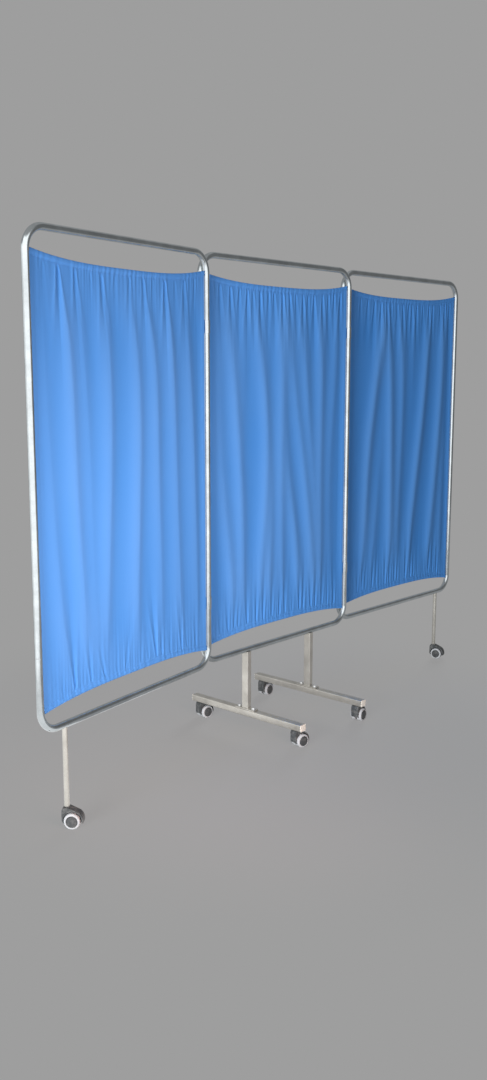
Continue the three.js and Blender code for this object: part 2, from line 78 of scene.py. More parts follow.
def ontoPanel(shape, panel):  # from a panel's own frame to the screen's
    return turned(shape, *panelPlaces[panel])


def laidOver(shape, side=1):  # from drawn in x and y and raised in z, to drawn in x and z and raised in y
    points, quads, triangles = shape
    return outward((points @ [[1, 0, 0], [0, 0, 1], [0, side, 0]], quads, triangles))


def joined(shapes):  # one list of points, each shape's indices moved on by the points before it
    starts = np.cumsum([0] + [len(shape[0]) for shape in shapes[:-1]])
    quads, triangles = (np.concatenate([
        np.asarray(shape[k], int).reshape(-1, 5 - k) + start for shape, start in zip(shapes, starts)
    ]) for k in (1, 2))
    return np.concatenate([shape[0] for shape in shapes]), quads, triangles


def outward(shape):
    # six times a closed shape's volume is the sum of a . (b x c); below zero it is inside out
    points, quads, triangles = shape
    quads, triangles = np.asarray(quads, int).reshape(-1, 4), np.asarray(triangles, int).reshape(-1, 3)
    every = np.concatenate([quads[:, :3], quads[:, [0, 2, 3]], triangles])
    a, b, c = (points[every[:, k]] for k in range(3))
    if np.einsum("ij,ij->i", a, np.cross(b, c)).sum() < 0:
        quads, triangles = quads[:, ::-1], triangles[:, ::-1]
    return points, quads, triangles


def spread(x, y, z):  # three coordinates, spread to one size, as an array of points
    return np.stack(np.broadcast_arrays(x, y, z), axis=-1)


def numbered(grid):  # an index for each point of a grid of rings, with each ring's first again at its end
    index = np.arange(grid[..., 0].size).reshape(grid.shape[:-1])
    return np.concatenate([index, index[..., :1]], axis=-1)


def cells(index):  # the quads between neighbours in a grid of indices
    return np.stack([index[..., :-1, :-1], index[..., :-1, 1:], index[..., 1:, 1:], index[..., 1:, :-1]],
                    axis=-1).reshape(-1, 4)


def loft(rings, closed=False):  # rings (n, m, 3) joined one to the next; the ends get fans to their middles
    points, index = rings.reshape(-1, 3), numbered(rings)
    if closed:
        return outward((points, cells(np.concatenate([index, index[:1]])), []))
    ends = (index[0], index[-1, ::-1])
    fans = [spread(row[1:], row[:-1], len(points) + end) for end, row in enumerate(ends)]
    points = np.concatenate([points, rings[[0, -1]].mean(axis=1)])
    return outward((points, cells(index), np.concatenate(fans)))


def around(sides):  # equal steps of one full turn
    return 2 * math.pi * np.arange(sides) / sides


def lathe(profile, sides):  # (radius, height) pairs carried round Z; a ring at each pair with a radius
    radius, height = np.array(profile, float).T[:, :, None]
    angle = around(sides)
    return loft(spread(radius * np.cos(angle), radius * np.sin(angle), height))


def chamfered(radius, low, high, edge):  # a disc's profile with its two edges cut off
    return [(radius - edge, low), (radius, low + edge), (radius, high - edge), (radius - edge, high)]


def sweep(points, tangents, radii, across, sides, closed=False):
    # ring = place + radius (cos a N + sin a B), with B fixed across a flat path and N = B x tangent
    angle = around(sides)[:, None]
    radii = np.broadcast_to(np.transpose(radii), (sides, len(points))).T[..., None]
    normals = np.cross(across, tangents)[:, None]
    return loft(points[:, None] + radii * (np.cos(angle) * normals + np.sin(angle) * across), closed)


def arc(centreX, centreY, radius, start, end, steps):  # points of a flat arc, angles in degrees
    angle = np.radians(np.linspace(start, end, steps + 1))
    return np.stack([centreX + radius * np.cos(angle), centreY + radius * np.sin(angle)], axis=-1)


def quarter(deep, wide, steps):
    # a quarter ellipse from (0, wide) to (deep, 0): deep (1 - sin a) and wide (1 - cos a)
    return [(deep * (1 - math.sin(a)), wide * (1 - math.cos(a))) for a in np.linspace(math.pi / 2, 0, steps)]


def roundedRectangle(width, depth, corner, steps=6):  # a quarter circle about each corner's middle
    across, up = width / 2 - corner, depth / 2 - corner
    return np.concatenate([arc(x * across, y * up, corner, start, start + 90, steps)
                           for x, y, start in ((1, 1, 0), (-1, 1, 90), (-1, -1, 180), (1, -1, 270))])


def unit(vectors):  # each vector over its length
    return vectors / np.maximum(np.linalg.norm(vectors, axis=-1, keepdims=True), 1e-9)


def inset(outline, distance):  # each corner moved along the mean of its two edges' normals, mitred
    before, after = outline - np.roll(outline, 1, axis=0), np.roll(outline, -1, axis=0) - outline
    normals = (unit(before) + unit(after))[:, ::-1] * [-1, 1]
    mitre = np.maximum(np.linalg.norm(normals, axis=1, keepdims=True) / 2, 0.5)
    return outline + distance * unit(normals) / mitre


def levelled(outline, levels):  # a ring for each (height, inset)
    return np.stack([np.column_stack([inset(outline, back), np.full(len(outline), z)]) for z, back in levels])


def prism(outline, low, high, bevel=0.0, holes=(), bevelLow=True):
    # an outline (anticlockwise) with holes (clockwise) raised from low to high, its edges rounded by
    # quarter circles; one more ring, past the bevel, keeps the shading of the walls flat
    edge = [*quarter(bevel, bevel, 4), (1.6 * bevel, 0.0)] if bevel else [(0.0, 0.0)]
    levels = [(low + rise, back) for rise, back in (edge if bevelLow else [(0.0, 0.0)])]
    levels += [(high - rise, back) for rise, back in edge[::-1]]
    rings = [levelled(line, levels) for line in (outline, *holes)]
    points = np.concatenate([ring.reshape(-1, 3) for ring in rings])
    starts = np.cumsum([0] + [ring[..., 0].size for ring in rings[:-1]])
    grids = [numbered(ring) + start for ring, start in zip(rings, starts)]
    faces = []
    for row in (0, -1):
        lines = [grid[row, :-1] for grid in grids]
        found = geometry.tessellate_polygon([[Vector(points[i]) for i in line] for line in lines])
        found = np.concatenate(lines)[np.array(found, int)]
        a, b, c = (points[found[:, k]] for k in range(3))
        wrong = (np.cross(b - a, c - a)[:, 2] > 0) == (row == 0)
        found[wrong] = found[wrong][:, ::-1]
        faces.append(found)
    return points, np.concatenate([cells(grid) for grid in grids]), np.concatenate(faces)


def linear(code):  # an sRGB hex value as linear red, green, blue and alpha
    parts = [int(code[k:k + 2], 16) / 255 for k in (1, 3, 5)]
    return (*[c / 12.92 if c <= 0.04045 else ((c + 0.055) / 1.055) ** 2.4 for c in parts], 1.0)


def addNode(tree, kind, settings=None, values=None, links=None, stops=(), give=0, into=None):
    # one shader node: settings are its properties, values its sockets' numbers, links its sockets' sources,
    # stops a ramp's places and colours; it gives back one of its outputs, which can go into a socket at once
    node = tree.nodes.new("ShaderNode" + kind)
    for key, value in (settings or {}).items():
        setattr(node, key, value)
    for key, value in (values or {}).items():
        node.inputs[key].default_value = value
    for key, source in (links or {}).items():
        tree.links.new(source, node.inputs[key])
    for k, (place, colour) in enumerate(stops):
        node.color_ramp.elements[k].position = place
        node.color_ramp.elements[k].color = linear(colour)
    if into:
        tree.links.new(node.outputs[give], into)
    return node.outputs[give]


def newMaterial(name, values):  # a Principled shader with its own constants set
    material = bpy.data.materials.new(name)
    material.use_nodes = True
    sockets = material.node_tree.nodes["Principled BSDF"].inputs
    for key, value in values.items():
        sockets[key].default_value = value
    return material, material.node_tree, sockets


# Every finish but the cloth: the shader's constants; a cloudy noise, its size in mm, detail and roughness,
# and the two tones that it runs between; a fine noise, its size in mm and detail, for a bump of a strength
# and a height in mm, stretched where the surface was drawn or ground; and where the roughness varies, the
# noise that it follows, from and to, and the two values
moulded = {"shader": {"Specular IOR Level": 0.5}, "cloud": (14.285, 5.0, 0.65), "grain": (0.8, 2.0),
           "bump": (0.18, 0.1), "rough": ("cloud", 0.0, 1.0, 0.39, 0.53)}
spun = {"shader": {"Roughness": 0.8, "Sheen Weight": 0.2}, "cloud": (0.714, 2.0, 0.5), "grain": (0.714, 2.0),
        "bump": (0.3, 0.2)}
finishes = {
    # Stainless steel tube, drawn and polished: bright, with hazy patches and very fine lengthwise scratches
    "tube": {"name": "polished stainless tube", "shader": {"Metallic": 1.0},
             "cloud": (55.0, 4.0, 0.6), "tones": ((0.3, "#bfc5c8"), (0.7, "#d6dde0")),
             "grain": (0.9, 2.0), "stretch": (1.0, 1.0, 0.05), "bump": (0.05, 0.03),
             "rough": ("cloud", 0.3, 0.7, 0.15, 0.2)},
    # Stainless steel box tube and rod, ground with a belt: softer and warmer, with a grain along its length
    "ground": {"name": "satin ground steel", "shader": {"Metallic": 0.9},
               "cloud": (45.45, 3.0, 0.5), "tones": ((0.3, "#c4c2bb"), (0.7, "#dad8d1")),
               "grain": (1.4, 3.0), "stretch": (1.0, 0.06, 0.06), "bump": (0.15, 0.1),
               "rough": ("grain", 0.3, 0.7, 0.3, 0.46)},
    # Steel bolts, stems and axles, plated with bright zinc: pale, slightly mottled
    "zinc": {"name": "bright zinc plate", "shader": {"Metallic": 0.9, "Roughness": 0.36},
             "cloud": (2.5, 2.0, 0.5), "tones": ((0.35, "#dcdfe0"), (0.65, "#f4f5f5")),
             "grain": (2.5, 2.0), "bump": (0.08, 0.1)},
    # Polyester, spun and twisted into a white cord: matt, with the fibres' faint light and dark
    "cord": {**spun, "name": "twisted white cord", "tones": ((0.3, "#cfd0ce"), (0.7, "#f0f0ee"))},
    # Polyester sewing thread, spun and dyed near the cloth's blue: matt, and a little duller than the cloth
    "thread": {**spun, "name": "blue sewing thread", "tones": ((0.3, "#3f7fc4"), (0.7, "#4f8fd2"))},
    # Polyethylene end plug, moulded in cream: an even, fine grain with a trace of dust
    "plug": {**moulded, "name": "cream end plug", "tones": ((0.45, "#dddbd3"), (0.75, "#d6d5cd"))},
    # Nylon, moulded in a spark-eroded die: an even, fine grain with dust in it, dark on the hoods and the
    # hub caps and pale grey on the treads
    "hood": {**moulded, "name": "dark moulded nylon", "tones": ((0.45, "#373b3d"), (0.75, "#646666"))},
    "cap": {**moulded, "name": "dark hub cap nylon", "tones": ((0.45, "#3a3d3f"), (0.75, "#5f6060")),
            "rough": ("cloud", 0.0, 1.0, 0.34, 0.48)},
    "tread": {**moulded, "name": "pale grey tread", "tones": ((0.45, "#a6aaae"), (0.75, "#9fa3a5")),
              "grain": (0.9, 2.0), "rough": ("cloud", 0.0, 1.0, 0.54, 0.68)},
}


def makeFinish(v):  # a noise's scale is 1000 / its size in mm
    material, tree, sockets = newMaterial(v["name"], v["shader"])
    place = addNode(tree, "TexCoord", give="Object")
    size, detail, broken = v["cloud"]
    cloud = addNode(tree, "TexNoise", values={"Scale": 1000 / size, "Detail": detail, "Roughness": broken},
                    links={"Vector": place})
    addNode(tree, "ValToRGB", links={"Fac": cloud}, stops=v["tones"], into=sockets["Base Color"])
    if "stretch" in v:
        place = addNode(tree, "Mapping", values={"Scale": v["stretch"]}, links={"Vector": place})
    size, detail = v["grain"]
    grain = addNode(tree, "TexNoise", values={"Scale": 1000 / size, "Detail": detail},
                    links={"Vector": place})
    strength, height = v["bump"]
    addNode(tree, "Bump", values={"Strength": strength, "Distance": height / 1000},
            links={"Height": grain}, into=sockets["Normal"])
    if "rough" in v:
        source, *limits = v["rough"]
        limits = dict(zip(("From Min", "From Max", "To Min", "To Max"), limits))
        addNode(tree, "MapRange", values=limits, into=sockets["Roughness"],
                links={"Value": cloud if source == "cloud" else grain})
    return material


# Polyester and cotton cloth, woven, dyed blue and pressed: matt, with a faint weave and uneven dye;
# painted light makes the colour paler on the crests of the folds (a painted highlight), and deeper in
# their valleys and a little darker in the weave's hollows (painted shade)
# The real threads are 0.3 mm apart; the weave is drawn at 2.4 mm so that a close view shows it
# deep and light are the tones of the painted light on the folds: deep for painted shade in the valleys, light
# for a painted highlight on the crests
clothValues = {"deep": "#337fd0", "light": "#5b93d5", "threadMm": 2.4, "dyeMm": 260.0, "dyeDetail": 3.0,
               # hollow is the colour left in the weave's hollows: painted shade between the threads
               "uneven": 0.2, "hollow": 0.955, "bump": (0.22, 0.3),
               "shader": {"Roughness": 0.9, "Specular IOR Level": 0.1},
               "waver": {"Distortion": 0.6, "Detail": 1.0, "Detail Scale": 2.0}}


def blueCloth():
    # tone = crest attribute (painted highlight on the crests, painted shade in the valleys) + uneven (dye
    # noise
    # - 1/2), times hollow to 1 by the higher of two thread waves (painted shade in the weave's hollows);
    # a wave's scale is pi / 10 times 1000 / its pitch in mm
    v = clothValues
    material, tree, sockets = newMaterial("woven blue curtain cloth", v["shader"])
    run = addNode(tree, "UVMap", {"uv_map": "clothRun"})
    place = addNode(tree, "TexCoord", give="Object")
    dye = addNode(tree, "TexNoise", values={"Scale": 1000 / v["dyeMm"], "Detail": v["dyeDetail"]},
                  links={"Vector": place})
    patchy = addNode(tree, "Math", {"operation": "MULTIPLY_ADD"},
                     {1: v["uneven"], 2: -v["uneven"] / 2}, {0: dye})
    # painted light on the folds: the crest attribute moves the colour from painted shade to a painted
    # highlight
    crest = addNode(tree, "Attribute", {"attribute_name": "crest"}, give="Fac")
    amount = addNode(tree, "Math", {"operation": "ADD"}, links={0: crest, 1: patchy})
    tone = addNode(tree, "ValToRGB", links={"Fac": amount}, stops=((0.0, v["deep"]), (1.0, v["light"])))
    threads = [addNode(tree, "TexWave", {"wave_type": "BANDS", "bands_direction": direction},
                       {"Scale": 1000 / v["threadMm"] / 10 * math.pi, **v["waver"]}, {"Vector": run},
                       give="Fac") for direction in ("X", "Y")]
    weave = addNode(tree, "Math", {"operation": "MAXIMUM"}, links=dict(enumerate(threads)))
    # painted shade in the weave's hollows, where neither thread wave is high
    shade = addNode(tree, "MapRange", values={"To Min": v["hollow"], "To Max": 1.0},
                    links={"Value": weave})
    addNode(tree, "VectorMath", {"operation": "SCALE"}, links={0: tone, "Scale": shade},
            into=sockets["Base Color"])
    strength, height = v["bump"]
    addNode(tree, "Bump", values={"Strength": strength, "Distance": height / 1000},
            links={"Height": weave}, into=sockets["Normal"])
    return material


materials = {key: makeFinish(values) for key, values in finishes.items()}
materials["cloth"] = blueCloth()
slots = {  # the solids' finish that each stands for, and the angle past which its edges stay sharp
    "tube": ("polished_tube", 30), "ground": ("satin_steel", 32), "plug": ("satin_steel", 32),
    "zinc": ("zinc_steel", 35), "hood": ("dark_nylon", 34), "cap": ("dark_nylon", 40),
    "tread": ("pale_wheel", 40), "cord": ("white_cord", 60), "thread": ("blue_cloth", 60),
    "cloth": ("blue_cloth", 80),
}
print("materials made")


def placed(name, data):  # an object with its zero at the scene's
    made = bpy.data.objects.new(name, data)
    bpy.context.scene.collection.objects.link(made)
    return made


def makePiece(prefix, part, shape, finish, body, *nodes):
    # millimetre arrays into a smooth mesh in metres; the prefix goes before the piece's name and the names
    # of the nodes that it replaces
    points, quads, triangles = outward(shape)
    slot, sharp = slots[finish]
    mesh = bpy.data.meshes.new(f"{prefix}_{part}")
    mesh.from_pydata((points / 1000).tolist(), [], [*quads.tolist(), *triangles.tolist()], shade_flat=False)
    mesh.validate()
    mesh.set_sharp_from_angle(angle=math.radians(sharp))
    mesh.materials.append(materials[finish])
    piece = placed(mesh.name, mesh)
    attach(piece, body)
    if nodes:
        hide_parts(*[f"{prefix}_{node}" for node in nodes])
    return piece


def panelPiece(panel, part, shape, finish, *nodes):  # a piece drawn in a panel's own frame
    return makePiece(panel, part, ontoPanel(shape, panel), finish, panelBodies[panel], *nodes)


# The three tube frames, each of an upper and a lower half
frameValues = {
    "sides": 48, "bendSteps": 22, "chamfer": 0.5, "plugLength": 36.0, "plugTip": 1.0, "plugStep": 0.01,
    "slipGap": 0.4, "seatGap": 0.3, "eyeRadius": 2.6, "eyeWire": 0.75, "eyeDepth": 0.1, "eyeSides": (20, 8),
    # the edge at the seam, as (distance in, distance off the outside), and its inside, all in chamfers
    "lip": ((0.0, 1.0), (0.3, 0.3), (1.0, 0.0), (3.0, 0.0)), "lipInside": 0.4,
}


def halfLoop(end, bar, profile):
    # from the seam along one side, a quarter circle, the bar, and the same mirrored; the profile's
    # (distance in, radius) pairs shape the two ends
    v, bend = frameValues, shared["bendRadius"]
    turn = np.sign(bar - end)
    angle = np.linspace(0, math.pi / 2, v["bendSteps"] + 1)
    points = spread(bend * (1 - np.cos(angle)), 0, bar - turn * bend * (1 - np.sin(angle)))
    ways = spread(np.sin(angle), 0, turn * np.cos(angle))
    depths, sizes = np.array(profile).T
    points = np.concatenate([[0, 0, end] + depths[:, None] * ways[0], points])
    ways = np.concatenate([np.tile(ways[0], (len(depths), 1)), ways])
    radii = np.concatenate([sizes, np.full(len(angle), shared["tubeRadius"])])
    mirrored = points[::-1] * [-1, 1, 1] + [shared["panelWidth"], 0, 0]
    return sweep(np.concatenate([points, mirrored]), np.concatenate([ways, ways[::-1] * [1, 1, -1]]),
                 np.concatenate([radii, radii[::-1]]), (0, 1, 0), v["sides"])


def edgeHeight(level, share):  # the edge bows towards the middle by 1 - |2 share - 1| to a power
    v, bow = hangValues, 1 - np.abs(2 * share - 1) ** hangValues["sagPower"]
    return v["topHem"] - v["topSag"] * bow if level == "top" else v["bottomHem"] + v["bottomBow"] * bow


def cordHeight(level, x):  # the cord runs inside the hem, one hem drop from the cloth's edge
    drop = -hangValues["hemDrop"] if level == "top" else hangValues["hemDrop"]
    return edgeHeight(level, (x - hangValues["sideInset"]) / clothSpan) + drop


def cordEye(x, z):  # a ring of wire about the X axis, where a cord goes into the tube
    v, (steps, sides) = frameValues, frameValues["eyeSides"]
    angle = around(steps)
    points = spread(x, v["eyeRadius"] * np.cos(angle), z + v["eyeRadius"] * np.sin(angle))
    return sweep(points, spread(0, -np.sin(angle), np.cos(angle)), v["eyeWire"], (1, 0, 0), sides, True)


def makeFrame(name):  # the upper half ends in sockets, the lower half in plugs that slide into them
    v, r = frameValues, shared["tubeRadius"]
    c, bore, tip = v["chamfer"], r - shared["tubeWall"], v["plugTip"] - v["plugLength"]
    plug = bore - v["slipGap"]
    lip = [(c * deep, r - c * back) for deep, back in v["lip"]]
    socketEnd = [(v["plugLength"] + v["seatGap"] * 2, bore), (c, bore), (0.0, bore + c * v["lipInside"])]
    plugEnd = [(-v["plugLength"], plug - v["plugTip"]), (tip, plug), (-v["plugStep"], plug)]
    for half, way, bar, profile, level in (("upper", 1, "topBar", socketEnd, "top"),
                                           ("lower", -1, "bottomBar", plugEnd, "bottom")):
        shapes = [halfLoop(shared["split"] + way * v["seatGap"] / 2, shared[bar], profile + lip)]
        for x in (r - v["eyeDepth"], shared["panelWidth"] - r + v["eyeDepth"]):
            shapes.append(cordEye(x, cordHeight(level, x)))
        panelPiece(name, f"{half}_tube", joined(shapes), "tube", f"{half}_frame")


for panel in panelPlaces:
    makeFrame(panel)
print("tube frames made")

# The hinge clips: two rings of strip steel side by side
clipValues = {"height": 42.0, "wall": 1.2, "fillet": 6.0, "gap": 0.35, "edge": 0.45, "inset": 235.0,
              "steps": 40, "filletSteps": 8, "boreSteps": 48}


def hingeClip(middle):
    # outline: the far arc of one ring, a hollow fillet, the far arc of the other ring, a hollow fillet
    v, half = clipValues, shared["clipSpacing"] / 2
    bore = shared["tubeRadius"] + v["gap"]
    outer = bore + v["wall"]
    rise = math.sqrt((outer + v["fillet"]) ** 2 - half ** 2)
    tilt = math.degrees(math.atan2(rise, half))
    outline = np.concatenate([
        arc(-half, 0, outer, tilt, 360 - tilt, v["steps"]),
        arc(0, -rise, v["fillet"], 180 - tilt, tilt, v["filletSteps"])[1:-1],
        arc(half, 0, outer, tilt - 180, 180 - tilt, v["steps"]),
        arc(0, rise, v["fillet"], -tilt, tilt - 180, v["filletSteps"])[1:-1],
    ])
    holes = [arc(x, 0, bore, 360, 0, v["boreSteps"])[:-1] for x in (-half, half)]
    body = prism(outline, middle - v["height"] / 2, middle + v["height"] / 2, v["edge"], holes)
    return turned(turned(body, x=half), math.pi / 2)


for level, height in (("upper", shared["topBar"] - clipValues["inset"]), ("lower", shared["split"])):
    for side, x, y in (("left", -halfPanel, -shared["clipSpacing"]), ("right", halfPanel, 0.0)):
        clip = turned(hingeClip(height), x=centreShift + x, y=y)
        makePiece(side, f"{level}_clip", clip, "tube", "centre_frame", f"{level}_hinge_clip")
print("hinge clips made")

# Posts, cross feet, legs and bolts
standValues = {
    # sections, as width, depth and corner radius
    "post": (20.0, 30.0, 2.5), "leg": (16.0, 16.0, 8.0), "foot": (30.0, 25.0, 4.0),
    "plate": (30.0, 92.0, 5.0),
    "plateThickness": 4.0, "plateBevel": 0.7, "footRound": 1.5, "plugSeam": 1.8, "plugGroove": 0.2,
    "saddleGap": 0.3, "saddleRise": 5.0, "skirt": 60.0, "chamfer": 0.4, "columnSink": 1.0,
    "columnSteps": 41, "beadRadius": 1.5, "postBead": 1.3, "legBead": 1.1, "beadPitch": 2.2, "ripple": 0.22,
    "saddleRipple": 0.2, "postReach": 9.4, "legReach": 7.76, "beadProud": 0.2, "beadSides": 10,
    "beadSteps": 4, "wander": 0.4, "wanderLength": 7.0, "beadEnd": 0.3, "beadPoints": 40,
    "boltReach": 33.0, "boltLift": 0.3,
}
saddleSeat = shared["tubeRadius"] + standValues["saddleGap"]


def saddleHeight(y):  # the underside of the bar: its height less sqrt(seat^2 - y^2)
    return shared["bottomBar"] - np.sqrt(np.maximum(saddleSeat ** 2 - y ** 2, 0))


def halfWidth(section, y):  # a rectangle with round corners: full width, then a quarter circle at each end
    width, depth, corner = section
    past = np.maximum(np.abs(y) - (depth / 2 - corner), 0)
    return width / 2 - corner + np.sqrt(np.maximum(corner ** 2 - past ** 2, 0))


def saddled(section, bottom):
    # a column whose two side chains stand at x = -/+ the section's half width; its top follows the
    # underside of the bar, and stops at the saddle's rise where it goes past the bar
    v, c, halfDepth = standValues, standValues["chamfer"], section[1] / 2
    y = halfDepth * np.sin(np.linspace(-math.pi / 2, math.pi / 2, v["columnSteps"]))
    rise = shared["bottomBar"] - shared["tubeRadius"] + v["saddleRise"]
    top = np.where(np.abs(y) < saddleSeat, np.minimum(saddleHeight(y), rise), rise)
    rings = []
    for order, z in enumerate((bottom, bottom + c, bottom + 3 * c, top - v["skirt"], top)):
        shrink = 1.0 if order else 1 - c / halfDepth
        right = spread(halfWidth(section, y) * shrink, y * shrink, z)
        rings.append(np.concatenate([right, (right * [-1, 1, 1])[::-1]]))
    rings, k = np.stack(rings), np.arange(len(y) - 1)
    index = numbered(rings)
    low, top = (np.stack([row[k], row[k + 1], row[-3 - k], row[-2 - k]], axis=-1) for row in index[[0, -1]])
    return outward((rings.reshape(-1, 3), np.concatenate([cells(index), top, low[:, ::-1]]), []))


def weldBead(outline, height):
    # a round bead along a closed outline, its size radius (1 - ripple |sin(pi run / pitch + slow)|), where
    # slow = wander sin(run / wander length) keeps the ripples from standing evenly
    v, loop = standValues, np.concatenate([outline, outline[:1]])
    run = np.concatenate([[0], np.cumsum(np.linalg.norm(np.diff(loop, axis=0), axis=1))])
    at = np.linspace(0, run[-1], int(run[-1] / (v["beadPitch"] / v["beadSteps"])), endpoint=False)
    points = spread(np.interp(at, run, loop[:, 0]), np.interp(at, run, loop[:, 1]), height)
    wave = np.abs(np.sin(math.pi * at / v["beadPitch"] + v["wander"] * np.sin(at / v["wanderLength"])))
    tangents = unit(np.roll(points, -1, axis=0) - np.roll(points, 1, axis=0))
    radii = v["beadRadius"] * (1 - v["ripple"] * wave)
    return sweep(points, tangents, radii, (0, 0, 1), v["beadSides"], closed=True)


def saddleBeads(section, reach, radius):  # along both arcs where a column meets the bar, thin at the ends
    v = standValues
    y = np.linspace(-reach, reach, v["beadPoints"])
    size = radius * (1 - v["saddleRipple"] * np.abs(np.sin(math.pi * y / v["beadPitch"])))
    size[[0, -1]] = radius * v["beadEnd"]
    shapes = []
    for side in (-1, 1):
        points = spread(side * (halfWidth(section, y) + v["beadProud"]), y, saddleHeight(y))
        tangents = unit(np.gradient(points, axis=0) * [0, 1, 1])
        shapes.append(sweep(points, tangents, size, (1, 0, 0), v["beadSides"]))
    return shapes


def makePost(side, x):  # a saddled column, welded to the bar above and to its base plate
    v, top = standValues, shared["plateTop"]
    shapes = [saddled(v["post"], top - v["columnSink"]),
              prism(roundedRectangle(*v["plate"]), top - v["plateThickness"], top, v["plateBevel"]),
              weldBead(roundedRectangle(*v["post"]), top + v["beadProud"]),
              *saddleBeads(v["post"], v["postReach"], v["postBead"])]
    makePiece(side, "post_tube", turned(joined(shapes), x=x), "ground", "centre_frame", "post")


def makeFoot(side, x):
    # the section's outline is lofted along the bar, and along a plug at each end that a quarter circle
    # rounds off; a fine groove parts them
    v, half = standValues, shared["footLength"] / 2
    section, seam, groove = roundedRectangle(*v["foot"]), v["plugSeam"], v["plugGroove"]
    middle = shared["footBottom"] + v["foot"][1] / 2

    def along(profile):
        return turned(laidOver(loft(levelled(section, profile))), x=x, z=middle)

    bar = [(p - half, back) for p, back in ((seam, groove), (seam + groove, 0.0), (seam + 4 * groove, 0.0))]
    bar += [(-p, back) for p, back in bar[::-1]]
    plug = quarter(v["footRound"], v["footRound"], 6)
    plug += [(seam - 3 * groove, 0.0), (seam - groove, 0.0), (seam, groove)]
    plugs = [along([(way * (half - p), back) for p, back in plug[::way]]) for way in (-1, 1)]
    makePiece(side, "foot_bar", along(bar), "ground", "centre_frame", "foot")
    makePiece(side, "foot_plugs", joined(plugs), "plug", "centre_frame")


def makeLeg(side, x):  # a round rod up to the bar of a side frame
    v = standValues
    shapes = [saddled(v["leg"], shared["footBottom"]), *saddleBeads(v["leg"], v["legReach"], v["legBead"])]
    panelPiece(side, "leg_rod", turned(joined(shapes), x=x), "ground", "leg")


boltValues = {"shank": 4.0, "shankLength": 20.0, "shankEdge": 0.5, "washer": 9.0, "washerHeight": 1.4,
              "rim": 0.3, "head": 7.0, "headHeight": 5.6, "upright": 0.22, "tip": 0.15, "domeSteps": 12,
              "sides": 40}


def domeBolt():  # shank, washer with a rounded rim, and a quarter-ellipse dome on a short upright edge
    v, shank, top = boltValues, boltValues["shank"], boltValues["washerHeight"]
    edge, dome = top + v["headHeight"] * v["upright"], v["headHeight"] * (1 - v["upright"])
    low, cut = -v["shankLength"], v["shankEdge"]
    profile = [(shank - cut, low), (shank, low + cut), (shank, 0.0),
               *chamfered(v["washer"], 0.0, top, v["rim"]), (v["head"], top)]
    profile += [(v["head"] * math.cos(t), edge + dome * math.sin(t))
                for t in np.linspace(0, math.pi / 2, v["domeSteps"])[:-1]]
    return lathe(profile + [(v["tip"], top + v["headHeight"])], v["sides"])


for side, way in (("left", -1), ("right", 1)):
    postX = centreShift + way * shared["postInset"]
    makePost(side, postX)
    makeFoot(side, postX)
    for end, along in (("front", -1), ("rear", 1)):
        bolt = turned(domeBolt(), 0.0, postX, along * standValues["boltReach"],
                      shared["plateTop"] + standValues["boltLift"])
        makePiece(side, f"{end}_dome_bolt", bolt, "zinc", "centre_frame", f"{end}_bolt")
legPlaces = {"left": shared["legInset"], "right": shared["panelWidth"] - shared["legInset"]}
for side, x in legPlaces.items():
    makeLeg(side, x)
print("posts, feet, legs and bolts made")

# Castors: two wheels on one axle, under a hood that swivels about the stem
castorValues = {
    "hoodWidth": 30.0, "hoodRadius": 32.0, "wellRadius": 27.0, "web": 9.0, "bevel": 1.8, "topReach": 11.0,
    "frontStep": 3.0, "backDrop": 7.0, "backEase": 0.4, "edgeRound": 2.0, "floor": 18.0, "backCorner": 8.0,
    "frontSlope": 55.0, "backSlope": 150.0, "frontSteps": 24, "edgeSteps": 3, "cornerSteps": 8,
    "overlap": 0.2, "lipInner": 0.5, "lipOuter": 2.1, "lipDepth": 1.0, "lipEdge": 0.3, "lipTrim": 2,
    "wellSteps": 48, "wheelWidth": 17.5, "sideGap": 1.0, "shoulder": 5.0, "shoulderLand": 1.2,
    "crownEdge": 1.0, "hubRadius": 6.0, "capRadius": 17.5, "capRise": 2.5, "axleRadius": 3.0,
    "axleReach": 10.0, "axleEdge": 0.5, "axleSides": 24, "stemRise": 22.0, "stemDepth": 12.0,
    "stemFoot": 0.6, "stemTip": 0.8, "stemSides": 32, "flangeRadius": 7.0, "flange": 1.5, "flangeEdge": 0.3,
    "sides": 64,
    # the wheel: its bore and grooved face as (radius, depth), the edge of its tread as (in from the tread's
    # radius, depth), and the step round the cap as (out from the cap's radius, height over the outer side)
    "face": ((3.25, 0.4), (8.0, 0.0), (9.0, 1.2), (20.0, 1.2), (21.0, 0.0)),
    "tread": ((1.0, 0.0), (0.2, 0.6), (0.0, 2.0), (0.0, 6.0)),
    "step": ((0.5, -0.2), (0.3, -1.2), (-1.0, -1.4)), "hubDepth": 1.4,
    # the cap: its rim and groove as (out from its radius, height), the dome's inset, lift, sink and power,
    # and the dimple as (radius, depth below the rise)
    "capDepth": 1.3, "rim": ((0.1, -1.3), (0.2, -0.3), (-0.3, 0.15), (-1.75, 0.1), (-2.1, -0.3)),
    "dome": (2.45, 0.2, 0.35, 1.1), "domeSteps": 14, "dimple": ((2.2, 0.16), (1.4, 0.5), (0.2, 0.6)),
    # the way the trails point at rest, in degrees from straight ahead
    "headings": {"left_leg": -53.0, "right_leg": -75.0, "left_foot_front": -12.0, "left_foot_rear": -10.0,
                 "right_foot_front": 6.0, "right_foot_rear": 3.0},
}


def ontoAxle(shape, side=1):  # a shape lathed about Z with its outer face up, set on the axle to either side
    return turned(laidOver(shape, side), x=shared["trail"], z=shared["axleHeight"])


def castorStem():  # a lathed pin with chamfered ends and a flange that bears on the foot
    v, r, f = castorValues, shared["stemRadius"], castorValues["flangeRadius"]
    low, seat = shared["hoodTop"] - v["stemDepth"], shared["flangeTop"]
    under, top = seat - v["flange"], seat + v["stemRise"]
    foot, tip = v["stemFoot"], v["stemTip"]
    return lathe([(r - foot, low), (r, low + foot), (r, under), *chamfered(f, under, seat, v["flangeEdge"]),
                  (r, seat), (r, top - tip), (r - tip, top)], v["stemSides"])


